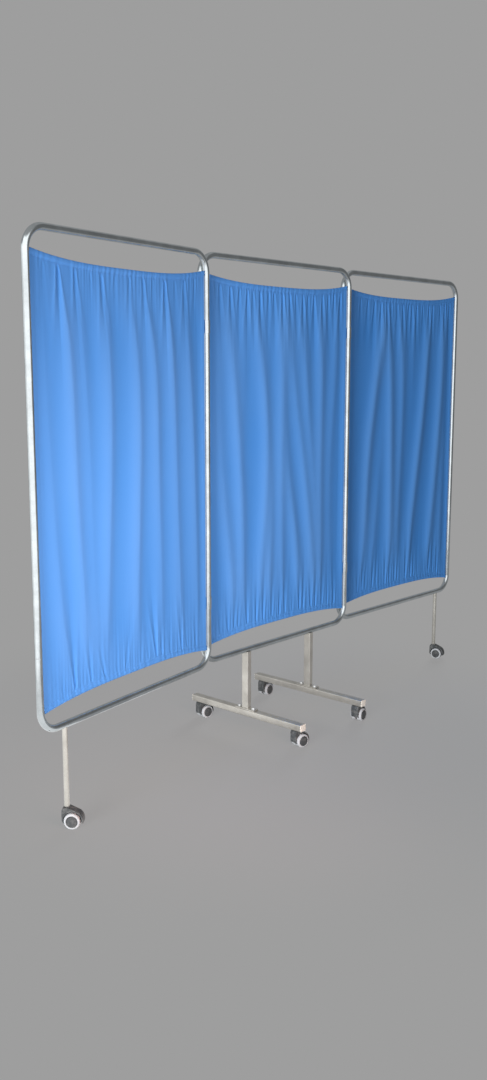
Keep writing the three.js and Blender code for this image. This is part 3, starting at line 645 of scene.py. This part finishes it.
def hoodOutline():
    # round over the wheels from the front lip, down a slope from the flat top, upright behind the stem
    v, small, corner = castorValues, castorValues["edgeRound"], castorValues["backCorner"]
    dip = math.degrees(math.asin((shared["axleHeight"] - v["floor"]) / v["hoodRadius"]))
    back = shared["trail"] - v["hoodRadius"]
    edges = ((v["topReach"] - v["frontStep"], 0.0, v["frontSlope"], 90),
             (small - v["topReach"], 0.0, 90, v["backSlope"]),
             (back + small, v["backDrop"] + v["backEase"], v["backSlope"], 180))
    top = shared["hoodTop"] - small
    return np.concatenate([
        arc(shared["trail"], shared["axleHeight"], v["hoodRadius"], -dip, v["frontSlope"], v["frontSteps"]),
        *[arc(x, top - drop, small, start, end, v["edgeSteps"]) for x, drop, start, end in edges],
        arc(back + corner, v["floor"] + corner, corner, 180, 270, v["cornerSteps"]),
    ])


def castorHood():
    # a web in the middle, a fender on each side that is the same outline less the wheel's well, and a
    # raised lip round each well
    v, outline = castorValues, hoodOutline()
    half, web, well = v["hoodWidth"] / 2, v["web"] / 2, v["wellRadius"]
    dip = math.degrees(math.asin((shared["axleHeight"] - v["floor"]) / well))

    def wellArc(proud, trim, way):  # along the well's edge, forwards or backwards
        ends = (trim - dip, 180 + dip - trim)[::way]
        return arc(shared["trail"], shared["axleHeight"], well + proud, *ends, v["wellSteps"])

    fender = prism(np.concatenate([outline, wellArc(0.0, 0, -1)]), web - v["overlap"], half, v["bevel"],
                   bevelLow=False)
    lip = np.concatenate([wellArc(v["lipOuter"], v["lipTrim"], 1), wellArc(v["lipInner"], v["lipTrim"], -1)])
    lip = prism(lip, half - v["lipDepth"], half, v["lipEdge"], bevelLow=False)
    both = [laidOver(shape, side) for side in (1, -1) for shape in (fender, lip)]
    return joined([laidOver(prism(outline, -web, web)), *both])


def castorAxle():  # a pin with chamfered ends, laid across
    v = castorValues
    reach = v["web"] / 2 + v["sideGap"] + v["axleReach"]
    return ontoAxle(lathe(chamfered(v["axleRadius"], -reach, reach, v["axleEdge"]), v["axleSides"]))


def wheelProfile():
    # inner face with a shallow ring groove, tread with a low crown, round shoulder, then a step to the cap
    v, r, cap = castorValues, shared["axleHeight"], castorValues["capRadius"]
    inner, width = v["web"] / 2 + v["sideGap"], v["wheelWidth"]
    outer = inner + width
    face = [*v["face"], *[(r - back, depth) for back, depth in v["tread"]],
            (r, width - v["shoulder"] - v["crownEdge"])]
    shoulder = quarter(v["shoulder"], r - cap - v["shoulderLand"], 9)[::-1]
    step = [(cap + out, outer + height) for out, height in v["step"]]
    return [(a, inner + z) for a, z in face] + [(r - back, outer - depth) for depth, back in shoulder] \
        + [*step, (v["hubRadius"], outer - v["hubDepth"])]


def capProfile():
    # a domed cap with a rolled rim, a groove inside it and a dimple on the axis; the dome is radius cos t
    # and (rise + lift) sin(t) ^ power - sink
    v, cap, rise = castorValues, castorValues["capRadius"], castorValues["capRise"]
    inset, lift, sink, power = v["dome"]
    rim = [(v["hubRadius"], -v["capDepth"]), *[(cap + out, height) for out, height in v["rim"]]]
    dome = [((cap - inset) * math.cos(t), (rise + lift) * math.sin(t) ** power - sink)
            for t in np.linspace(0, math.pi / 2, v["domeSteps"])[:-2]]
    dimple = [(radius, rise - depth) for radius, depth in v["dimple"]]
    outer = v["web"] / 2 + v["sideGap"] + v["wheelWidth"]
    return [(a, outer + z) for a, z in rim + dome + dimple]


def makeCastor(name, panel, x, y):  # turned by its heading less the panel's turn, then set in the panel
    v, body = castorValues, f"{name}_castor"
    heading = math.radians(v["headings"][name]) - panelPlaces[panel][0]

    def piece(part, shape, finish, carrier, *nodes):
        makePiece(name, part, ontoPanel(turned(shape, heading, x, y), panel), finish, carrier, *nodes)

    piece("stem", castorStem(), "zinc", panelBodies[panel], "castor_stem")
    piece("hood", castorHood(), "hood", body, "castor_hood")
    piece("axle", castorAxle(), "zinc", body, "castor_axle")
    for letter, side in (("a", -1), ("b", 1)):
        wheelBody = f"{body}_wheel_{letter}"
        tread, cap = (ontoAxle(lathe(line, v["sides"]), side) for line in (wheelProfile(), capProfile()))
        piece(f"tread_{letter}", tread, "tread", wheelBody, f"wheel_{letter}")
        piece(f"cap_{letter}", cap, "cap", wheelBody)


footReach = shared["footLength"] / 2 - shared["castorInset"]
for side, way in (("left", -1), ("right", 1)):
    for end, along in (("front", -1), ("rear", 1)):
        makeCastor(f"{side}_foot_{end}", "centre", halfPanel + way * shared["postInset"], along * footReach)
for side, x in legPlaces.items():
    makeCastor(f"{side}_leg", side, x, 0.0)
print("castors made")

# Curtains: ridges run down the cloth, gathers die away from the hems, and pleats start at the stitches
foldValues = {
    "columns": 420, "bodyRows": 28, "swing": {"left": 7.8, "centre": 8.6, "right": 9.4}, "hemSwing": 0.4,
    # the crest span is the depth of fold that takes the colour from painted shade to a painted highlight
    "swingStart": 14.0, "swingReach": 190.0, "crest": 6.0, "paintedFoldLightSpan": 20.0, "ridgePower": 1.35,
    "highest": 1.2,
    "gatherHeight": 0.4, "topGather": (70.0, 0.3), "bottomGather": (85.0, 1.9),  # reach in mm, phase
    "gathers": ((31, 1.0, 0.9, 2), (47, 0.7, 1.1, 3)),  # waves across, height, their wander and its waves
    "pleatStart": 5.5, "topOpening": 0.1, "bottomOpening": 0.08, "pleatRise": 14.0, "pleatPower": 1.2,
    "valleyPower": 1.5, "valleyRound": 0.5, "rimHeight": 0.22, "rimPlace": 1.25, "rimWidth": 0.35,
    "hemFold": 0.12, "hemEase": 0.35, "mostInHem": 0.9, "mostBelow": 9.6, "mostStart": 10.0, "mostRun": 12.0,
    "clothThickness": 0.9, "sleeve": 5.6, "sleeveReach": 8.4, "pinch": 0.15, "pinchReach": 1.6,
    "sideHem": 13.0, "sideDouble": 0.8, "sideStep": 1.2, "flatWidth": 0.92, "flatLength": 1.31,
    # distances of the rows of points from an edge, close together in the hem and wider down the cloth
    "rows": (0, 0.4, 1.2, 2.6, 4.6, 6.8, 9, 11.4, 13.6, 15.4, 16.8, 18, 19.2, 20.8, 23, 26, 30, 34.5,
             *np.linspace(40, 230, 24)),
    # how far a ridge runs out to its left and to its right, in mm
    "reach": {"left": (44.0, 20.0), "centre": (34.0, 28.0), "right": (30.0, 31.0)},
}

# Each ridge: its places at five heights from top to bottom, in thousandths of the width, then its heights
# there in hundredths of the swing, zero where it ends within the cloth
ridges = {
    "left": [
        (48, 56, 73, 98, 135, 20, 40, 50, 70, 70), (122, 182, 197, 217, 234, 80, 100, 90, 80, 60),
        (207, 258, 275, 279, 299, 70, 60, 40, 35, 50), (341, 392, 384, 361, 337, 60, 100, 100, 90, 60),
        (489, 559, 555, 536, 532, 50, 90, 110, 100, 60), (578, 666, 674, 683, 660, 60, 90, 90, 70, 60),
        (716, 777, 794, 806, 814, 90, 100, 80, 80, 70), (835, 895, 917, 930, 934, 70, 80, 80, 70, 50),
    ],
    "centre": [
        (77, 94, 106, 149, 155, 40, 50, 60, 90, 70), (151, 184, 221, 238, 227, 90, 100, 100, 100, 60),
        (258, 255, 247, 255, 285, 80, 35, 0, 0, 50), (332, 382, 407, 378, 361, 70, 100, 100, 90, 60),
        (425, 435, 440, 431, 435, 30, 0, 10, 80, 60), (497, 514, 510, 512, 518, 80, 90, 80, 90, 60),
        (536, 535, 555, 615, 633, 10, 10, 50, 100, 80), (565, 597, 665, 725, 749, 80, 70, 80, 100, 70),
        (646, 687, 732, 775, 790, 90, 90, 60, 20, 0), (790, 806, 802, 806, 810, 70, 100, 90, 90, 60),
        (917, 917, 885, 885, 896, 70, 60, 50, 40, 40),
    ],
    "right": [
        (316, 279, 217, 193, 145, 90, 110, 110, 100, 60), (85, 75, 70, 60, 55, 50, 20, 20, 30, 40),
        (345, 355, 330, 289, 260, 0, 0, 20, 60, 50), (337, 396, 411, 419, 392, 60, 100, 110, 110, 70),
        (475, 510, 508, 493, 489, 70, 90, 70, 70, 50), (613, 613, 605, 585, 565, 80, 30, 0, 0, 0),
        (763, 728, 683, 629, 604, 80, 110, 110, 100, 70), (893, 891, 864, 827, 794, 90, 110, 110, 110, 70),
        (935, 935, 930, 920, 915, 0, 10, 30, 60, 50),
    ],
}

# Each pleat pinched at the stitches: its place across in thousandths, its depth in tenths of a mm, its
# lean in hundredths, and how far it reaches down or up, in mm
topPleats = {
    "left": [
        (62, 18, -2, 120), (133, 68, 3, 170), (218, 48, 6, 150), (300, 14, 3, 90), (358, 48, 8, 150),
        (435, 14, -4, 90), (520, 20, -6, 130), (600, 40, 5, 140), (660, 14, 0, 80), (733, 72, 4, 170),
        (800, 14, 4, 90), (862, 52, 2, 150), (935, 18, 0, 110),
    ],
    "centre": [
        (50, 24, 2, 90), (100, 38, 2, 140), (166, 49, 3, 150), (225, 28, -4, 110), (275, 49, -1, 150),
        (310, 28, 4, 110), (360, 45, 4, 160), (420, 28, -3, 90), (455, 31, 2, 110), (515, 49, 1, 160),
        (565, 41, 6, 140), (610, 28, 4, 100), (660, 49, 3, 160), (700, 28, -2, 90), (745, 45, 3, 130),
        (810, 45, 2, 150), (855, 31, 3, 120), (900, 28, -2, 90), (950, 45, -2, 170),
    ],
    "right": [
        (60, 28, 4, 110), (130, 31, -2, 110), (190, 28, -3, 120), (250, 38, -6, 130), (305, 49, -4, 160),
        (355, 49, 4, 160), (395, 31, 3, 110), (450, 31, 2, 110), (500, 49, 3, 160), (555, 28, -4, 110),
        (585, 38, 2, 120), (630, 45, 0, 140), (690, 28, 3, 100), (750, 38, -3, 130), (790, 45, -5, 150),
        (860, 31, 2, 110), (905, 45, 0, 160), (955, 31, 0, 130),
    ],
}
bottomPleats = {
    "left": [
        (100, 12, -3, 70), (168, 59, -7, 130), (212, 12, 3, 60), (256, 45, -9, 110), (333, 38, -22, 60),
        (400, 12, 4, 60), (455, 16, 20, 120), (550, 14, 6, 90), (600, 14, -5, 90), (652, 59, -10, 130),
        (688, 35, -3, 60), (740, 12, 2, 60), (822, 49, -6, 110), (862, 16, -8, 80), (925, 18, -5, 90),
    ],
    "centre": [
        (50, 18, 2, 70), (95, 22, -3, 90), (145, 33, -5, 100), (185, 30, 5, 90), (212, 22, 2, 80),
        (275, 36, -3, 120), (335, 33, 3, 100), (385, 36, 2, 120), (448, 36, 0, 130), (503, 30, 3, 100),
        (545, 33, -2, 110), (600, 18, 0, 70), (655, 42, -4, 130), (682, 30, 3, 90), (742, 36, -5, 110),
        (778, 33, 2, 100), (832, 36, 0, 120), (875, 20, 3, 80), (930, 30, 0, 100),
    ],
    "right": [
        (60, 18, 3, 70), (138, 30, 3, 100), (180, 36, 6, 120), (212, 22, 0, 80), (272, 36, 5, 120),
        (305, 22, 4, 90), (387, 36, 3, 120), (430, 22, 0, 90), (480, 36, 0, 120), (508, 22, 0, 90),
        (582, 39, 4, 130), (634, 36, 3, 120), (665, 30, -2, 90), (700, 22, 0, 80), (760, 18, 0, 70),
        (813, 42, 5, 130), (860, 30, 0, 100), (900, 30, 3, 100),
    ],
}


def smoothStep(x):  # 3 x^2 - 2 x^3 between 0 and 1
    x = np.clip(x, 0, 1)
    return x * x * (3 - 2 * x)


def alongRidge(values, down):  # the one quartic through five values spaced evenly from top to bottom
    return np.polyval(np.polyfit(np.linspace(0, 1, 5), values, 4), down)


def ridgeField(name, share, down):
    # each ridge climbs from the left and falls to the right, with a reach of its own on each side:
    # height x exp(-(distance / reach) ^ power), with the distance rounded off at the crest
    v, total = foldValues, 0.0
    leftReach, rightReach = v["reach"][name]
    for row in ridges[name]:
        places, heights = np.array(row[:5]) / 1000, np.array(row[5:]) / 100
        away = (share - alongRidge(places, down)) * clothSpan
        reach = np.where(away < 0, leftReach, rightReach)
        distance = np.sqrt(away ** 2 + v["crest"] ** 2) - v["crest"]
        height = np.clip(alongRidge(heights, down), 0, v["highest"])
        total = total + height * np.exp(-((distance / reach) ** v["ridgePower"]))
    return total


def pleatField(share, distance, pleats, opening):
    # each pleat is a V-shaped valley: half width = start + opening x distance from the stitches; across it
    # (1 - a) ^ power (1 + round a) with a low rim beside it, and along it at full depth just past the
    # stitches, then fading by exp(-(distance / reach) ^ power)
    v, depth = foldValues, 0.0
    for place, size, lean, reach in pleats:
        half = v["pleatStart"] + opening * distance
        across = np.abs((share - place / 1000) * clothSpan - lean / 100 * distance) / half
        valley = np.maximum(1 - across, 0) ** v["valleyPower"] * (1 + v["valleyRound"] * across)
        edge = v["rimHeight"] * np.exp(-((across - v["rimPlace"]) / v["rimWidth"]) ** 2)
        along = smoothStep(distance / v["pleatRise"]) * np.exp(-((distance / reach) ** v["pleatPower"]))
        depth = depth + size / 10 * (valley - edge) * along
    return depth


def gatherField(share, distance, reach, phase):
    # two trains of waves across, each wandering along the hem, times exp(-distance / reach)
    ripple = 0.0
    for order, (count, height, wander, turns) in enumerate(foldValues["gathers"], 1):
        shift = wander * np.sin(2 * math.pi * turns * share + order * phase)
        ripple = ripple + height * np.sin(2 * math.pi * (count * share + shift))
    return foldValues["gatherHeight"] * ripple * np.exp(-distance / reach)


def clothDepth(name, share, down, below, above):
    # depth of the cloth's middle, minus towards the front: pleats + gathers - ridges, faded at the sides,
    # nearly flat in the hems, where the cords lie, and held under a limit by limit x tanh(depth / limit)
    v, stitch = foldValues, hangValues["stitchDrop"]
    fromTop, fromBottom = np.maximum(below - stitch, 0), np.maximum(above - stitch, 0)
    edge = np.minimum(below, above)
    hem = v["hemFold"] + (1 - v["hemFold"]) * smoothStep(edge / stitch - v["hemEase"])
    free = smoothStep((np.minimum(fromTop, fromBottom) + v["swingStart"]) / v["swingReach"])
    swing = v["hemSwing"] + (v["swing"][name] - v["hemSwing"]) * free * hem
    gathers = gatherField(share, fromTop, *v["topGather"]) \
        + gatherField(share, fromBottom, *v["bottomGather"])
    pleats = pleatField(share, fromTop, topPleats[name], v["topOpening"]) \
        + pleatField(share, fromBottom, bottomPleats[name], v["bottomOpening"])
    sides = smoothStep(np.minimum(share, 1 - share) / hangValues["fade"])
    depth = sides * (pleats * hem + gathers - swing * (ridgeField(name, share, down) - 0.5))
    most = v["mostInHem"] + v["mostBelow"] * smoothStep((edge - v["mostStart"]) / v["mostRun"])
    return most * np.tanh(depth / most)


def clothThickness(share, below, above):
    # one layer, rising to the sleeve round the cord, pinched at the stitches, doubled in the side hems
    v, drop, stitch = foldValues, hangValues["hemDrop"], hangValues["stitchDrop"]
    nearest = np.minimum(below, above)
    outer = np.sqrt(np.clip(1 - ((drop - nearest) / v["sleeveReach"]) ** 2, 0, 1))
    sleeve = np.where(nearest < drop, outer, 1 - smoothStep((nearest - drop) / (stitch - drop)))
    pinch = 1 - v["pinch"] * np.exp(-((nearest - stitch) / v["pinchReach"]) ** 2)
    fromSide = np.minimum(share, 1 - share) * clothSpan
    double = v["sideDouble"] * (1 - smoothStep((fromSide - v["sideHem"]) / v["sideStep"]))
    return (v["clothThickness"] + double) * pinch + (v["sleeve"] - v["clothThickness"]) * sleeve


def clothAt(name, share, below):  # depth and thickness at a share across and a distance below the top edge
    stitch = hangValues["stitchDrop"]
    tall = edgeHeight("top", share) - edgeHeight("bottom", share)
    down = np.clip((below - stitch) / (tall - 2 * stitch), 0, 1)
    return clothDepth(name, share, down, below, tall - below), clothThickness(share, below, tall - below)


def makeCurtain(name):
    # two sheets, half a thickness before and behind the cloth's middle, with a rim of quads between them;
    # the cloth's run across is the length along its folds, and the crest is 1/2 -/+ depth / span, which
    # paints
    # light on the folds: a painted highlight where each face bulges out, painted shade where it falls in
    v, s = foldValues, hangValues
    share = np.linspace(0, 1, v["columns"] + 1)
    top = edgeHeight("top", share)
    tall = top - edgeHeight("bottom", share)
    near, part = np.array(v["rows"])[:, None], np.linspace(0, 1, v["bodyRows"] + 2)[1:-1, None]
    below = np.concatenate([near + 0 * tall, near[-1] + part * (tall - 2 * near[-1]), tall - near[::-1]])
    depth, thick = clothAt(name, share, below)
    x = s["sideInset"] + s["sideGap"] + s["topCorner"] * np.exp(-((below / s["cornerReach"]) ** 2)) \
        + s["bottomCorner"] * np.exp(-(((tall - below) / s["cornerReach"]) ** 2))
    x = x + share * (shared["panelWidth"] - 2 * x)
    z = top - below
    sheets = np.stack([spread(x, depth + face * thick / 2, z) for face in (-1, 1)])
    count, index = below.size, np.arange(below.size).reshape(below.shape)
    front = cells(index.T)
    rim = np.concatenate([index[0, :], index[1:, -1], index[-1, -2::-1], index[-2:0:-1, 0]])
    after = np.roll(rim, -1)
    edge = np.stack([rim, after, after + count, rim + count], axis=-1)
    shape = (sheets.reshape(-1, 3), np.concatenate([front, front[:, ::-1] + count, edge]), [])
    piece = panelPiece(name, "curtain_cloth", shape, "cloth", "curtain")
    steps = np.hypot(np.diff(x, axis=1), np.diff(depth, axis=1))
    run = np.concatenate([np.zeros((len(below), 1)), np.cumsum(steps, axis=1)], axis=1)
    uv = np.tile(np.stack([run, z], axis=-1).reshape(-1, 2) / 1000, (2, 1))
    corners = np.zeros(len(piece.data.loops), np.int32)
    piece.data.loops.foreach_get("vertex_index", corners)
    layer = piece.data.uv_layers.new(name="clothRun")
    layer.data.foreach_set("uv", uv[corners].astype(np.float32).ravel())
    # painted light: on each face the colour is paler where the cloth bulges out (a painted highlight) and
    # deeper where it falls in (painted shade)
    crest = np.stack([0.5 + face * depth.ravel() / v["paintedFoldLightSpan"] for face in (-1, 1)])
    layer = piece.data.attributes.new("crest", "FLOAT", "POINT")
    layer.data.foreach_set("value", np.clip(crest, 0, 1).astype(np.float32).ravel())
    print(f"{name} curtain: widest row {run[:, -1].max():.0f} mm along the folds, height {tall.max():.0f} mm")
    return piece


seamValues = {"pitch": 4.2, "length": 2.8, "radius": 0.28, "sides": 6, "sink": 6.0, "leftOut": 2,
              "spindle": (0.5, 0.9, 1.0, 0.9, 0.5)}


def stitchRow(name, level, face):
    # short rods of thread that follow the cloth: each is a five-ring spindle, sunk at both ends by
    # radius x (sink t^2 - 1), with t from -1/2 to 1/2 along it
    s, v = hangValues, seamValues
    count, t = int(clothSpan / v["pitch"]) - 2 * v["leftOut"], np.linspace(-0.5, 0.5, len(v["spindle"]))
    middle = (np.arange(count)[:, None] + (v["leftOut"] + 0.5)) * v["pitch"]
    share = (middle + t * v["length"]) / clothSpan
    top = edgeHeight("top", share)
    below = s["stitchDrop"] if level == "top" else top - edgeHeight("bottom", share) - s["stitchDrop"]
    depth, thick = clothAt(name, share, below)
    x = s["sideInset"] + s["sideGap"] + share * (clothSpan - 2 * s["sideGap"])
    y = depth + face * (thick / 2 + v["radius"] * (1.0 - v["sink"] * t ** 2))
    angle = around(v["sides"])
    ring = v["radius"] * spread(0, np.cos(angle), np.sin(angle))
    points = spread(x, y, top - below)[:, :, None] + np.array(v["spindle"])[:, None, None] * ring
    index = numbered(points)
    first, last = (np.concatenate([index[:, end, :4], index[:, end][:, [0, 3, 4, 5]]]) for end in (0, -1))
    return outward((points.reshape(-1, 3), np.concatenate([cells(index), first[:, ::-1], last]), []))


def makeSeams(name):  # a row at the top and the bottom, before and behind the cloth
    rows = [stitchRow(name, level, face) for level in ("top", "bottom") for face in (-1, 1)]
    return panelPiece(name, "hem_stitches", joined(rows), "thread")


cordValues = {"radius": 1.5, "bite": 3.0, "strands": 3, "lay": 9.0, "groove": 0.1, "sides": 18, "step": 1.5}


def makeCord(name, level):
    # a twisted cord from tube to tube: radius x (1 - groove + groove cos(strands angle - turn of the lay))
    v, inside = cordValues, shared["tubeRadius"] - cordValues["bite"]
    x = np.arange(inside, shared["panelWidth"] - inside, v["step"])
    points = spread(x, 0, cordHeight(level, x))
    twist = v["strands"] * around(v["sides"]) - 2 * math.pi * x[:, None] / v["lay"]
    radius = v["radius"] * (1 - v["groove"] + v["groove"] * np.cos(twist))
    cord = sweep(points, unit(np.gradient(points, axis=0)), radius, (0, 1, 0), v["sides"])
    panelPiece(name, f"{level}_hem_cord", cord, "cord", f"{level}_cord")


for panel in panelPlaces:
    curtain = makeCurtain(panel)
    seams = makeSeams(panel)
    for level in ("top", "bottom"):
        makeCord(panel, level)
print("curtains, seams and cords made")

# Studio, in metres
studioValues = {
    "background": "#9e9e9e", "matt": "#b8b8b8", "fill": (0.16, 0.16, 0.1632, 1.0),
    # near the part the floor takes shadow, and further off it shows the background's own grey
    "floorSize": 30.0, "floorNear": 0.7, "floorFar": 1.7, "floorShare": 0.22,
    # lamps: place, what it faces, size, watts, spread in degrees, colour
    "lamps": {
        "key": ((-1.05, -1.4, 0.75), (-0.9, 0.0, 0.85), (0.9, 1.0), 14.4, 120.0, "#ffd6cb"),
        "side": ((-6.5, -1.9, 1.0), (0.0, 0.0, 0.5), (3.4, 2.4), 125.0, 70.0, "#ffffff"),
        "back": ((4.4, 1.9, 1.7), (0.0, 0.0, 0.9), (1.6, 1.8), 165.0, 180.0, "#ffffff"),
    },
    # cards that only reflections see: from and to azimuth in degrees, then the radius and the height of
    # the two edges, and the brightness
    "cards": {
        "white_wall": (172.0, 268.0, (2.7, 2.7), (0.0, 3.4), 1.5),
        "left_wall": (132.0, 172.0, (2.7, 2.7), (0.0, 2.3), 1.0),
        "right_wall": (268.0, 288.0, (2.7, 2.7), (0.0, 2.3), 0.5),
        "low_wall": (290.0, 352.0, (2.7, 2.7), (0.02, 0.4), 0.3),
        "dark_wall": (290.0, 352.0, (2.7, 2.7), (0.4, 5.0), 0.165),
        "near_floor": (140.0, 180.0, (0.35, 0.8), (0.002, 0.002), 0.9),
        "far_floor": (140.0, 234.0, (0.8, 2.7), (0.002, 0.002), 0.9),
    },
}


def rectangleLight(name, place, target, size, power, spread, colour):  # its -Z looks at the target
    light = bpy.data.lights.new(name, "AREA")
    light.shape = "RECTANGLE"
    light.size, light.size_y = size
    light.energy, light.spread, light.color = power, math.radians(spread), linear(colour)[:3]
    holder = placed(name, light)
    holder.location = place
    holder.rotation_euler = (Vector(target) - Vector(place)).to_track_quat("-Z", "Y").to_euler()
    holder.visible_camera = holder.visible_glossy = False


def stageSheet(name, points, quads):  # a sheet of the set, its node tree, and the socket for its surface
    mesh = bpy.data.meshes.new(name)
    mesh.from_pydata(points, [], quads)
    sheet = placed(name, mesh)
    material = bpy.data.materials.new(name)
    material.use_nodes = True
    tree = material.node_tree
    tree.nodes.clear()
    mesh.materials.append(material)
    return sheet, tree, tree.nodes.new("ShaderNodeOutputMaterial").inputs["Surface"]


def reflectorCard(name, start, end, radii, heights, brightness, steps=24):
    # a band between two edges, each an arc about the part's middle; it glows in reflections alone
    angle = np.radians(np.linspace(start, end, steps + 1))
    edges = [spread(r * np.cos(angle), r * np.sin(angle), z) for r, z in zip(radii, heights)]
    index = np.arange(2 * (steps + 1)).reshape(2, -1)
    card, tree, surface = stageSheet(name, np.concatenate(edges).tolist(), cells(index).tolist())
    addNode(tree, "Emission", values={"Color": (1, 1, 1, 1), "Strength": brightness}, into=surface)
    for ray in ("camera", "diffuse", "transmission", "volume_scatter", "shadow"):
        setattr(card, f"visible_{ray}", False)


def makeWorld():  # the fill lights the part; the camera, gloss and glass see the background
    v = studioValues
    world = bpy.context.scene.world = bpy.data.worlds.new("studio")
    world.use_nodes = True
    tree = world.node_tree
    path = tree.nodes.new("ShaderNodeLightPath").outputs
    seen = path["Is Camera Ray"]
    for ray in ("Is Glossy Ray", "Is Transmission Ray"):
        seen = addNode(tree, "Math", {"operation": "MAXIMUM"}, links={0: seen, 1: path[ray]})
    addNode(tree, "Mix", {"data_type": "RGBA"}, {6: v["fill"], 7: linear(v["background"])},
            {0: seen}, give=2, into=tree.nodes["Background"].inputs["Color"])


def makeFloor():  # its surface goes from matt to the background's grey with the distance from the middle
    v, half = studioValues, studioValues["floorSize"] / 2
    corners = [(x * half, y * half, 0) for x, y in ((-1, -1), (1, -1), (1, 1), (-1, 1))]
    _, tree, surface = stageSheet("floor", corners, [(0, 1, 2, 3)])
    place = addNode(tree, "TexCoord", give="Object")
    away = addNode(tree, "VectorMath", {"operation": "LENGTH"}, links={0: place}, give="Value")
    far = addNode(tree, "MapRange", {"interpolation_type": "SMOOTHSTEP"},
                  {"From Min": v["floorNear"], "From Max": v["floorFar"], "To Min": 1 - v["floorShare"],
                   "To Max": 1.0}, {"Value": away})
    matt = addNode(tree, "BsdfDiffuse", values={"Color": linear(v["matt"])})
    glow = addNode(tree, "Emission", values={"Color": linear(v["background"]), "Strength": 1.0})
    addNode(tree, "MixShader", links={0: far, 1: matt, 2: glow}, into=surface)


cameraValues = {"focalPixels": 1027.1, "framePixels": 1080, "sensor": 36.0, "yaw": 48.18, "pitch": 9.475,
                "place": (-2905.3, -2420.7, 1328.9)}


def makeCamera():
    # looks along (sin yaw cos pitch, cos yaw cos pitch, -sin pitch); the lens gives the focal length in
    # pixels over the height of the frame
    v = cameraValues
    yaw, pitch = math.radians(v["yaw"]), math.radians(v["pitch"])
    forward = Vector((math.sin(yaw) * math.cos(pitch), math.cos(yaw) * math.cos(pitch), -math.sin(pitch)))
    right = Vector((math.cos(yaw), -math.sin(yaw), 0))
    data = bpy.data.cameras.new("camera")
    data.sensor_fit = "VERTICAL"
    data.sensor_height = v["sensor"]
    data.lens = v["focalPixels"] * v["sensor"] / v["framePixels"]
    data.clip_end = 100
    turn = Matrix((right, right.cross(forward), -forward)).transposed().to_4x4()
    x, y, z = v["place"]
    camera = bpy.context.scene.camera = placed("camera", data)
    camera.matrix_world = Matrix.Translation(((x + centreShift) / 1000, y / 1000, z / 1000)) @ turn


makeWorld()
makeFloor()
for name, lamp in studioValues["lamps"].items():
    rectangleLight(name, *lamp)
for name, card in studioValues["cards"].items():
    reflectorCard(name, *card)
makeCamera()
bpy.context.scene.view_settings.view_transform = "Standard"
print("studio and camera made")
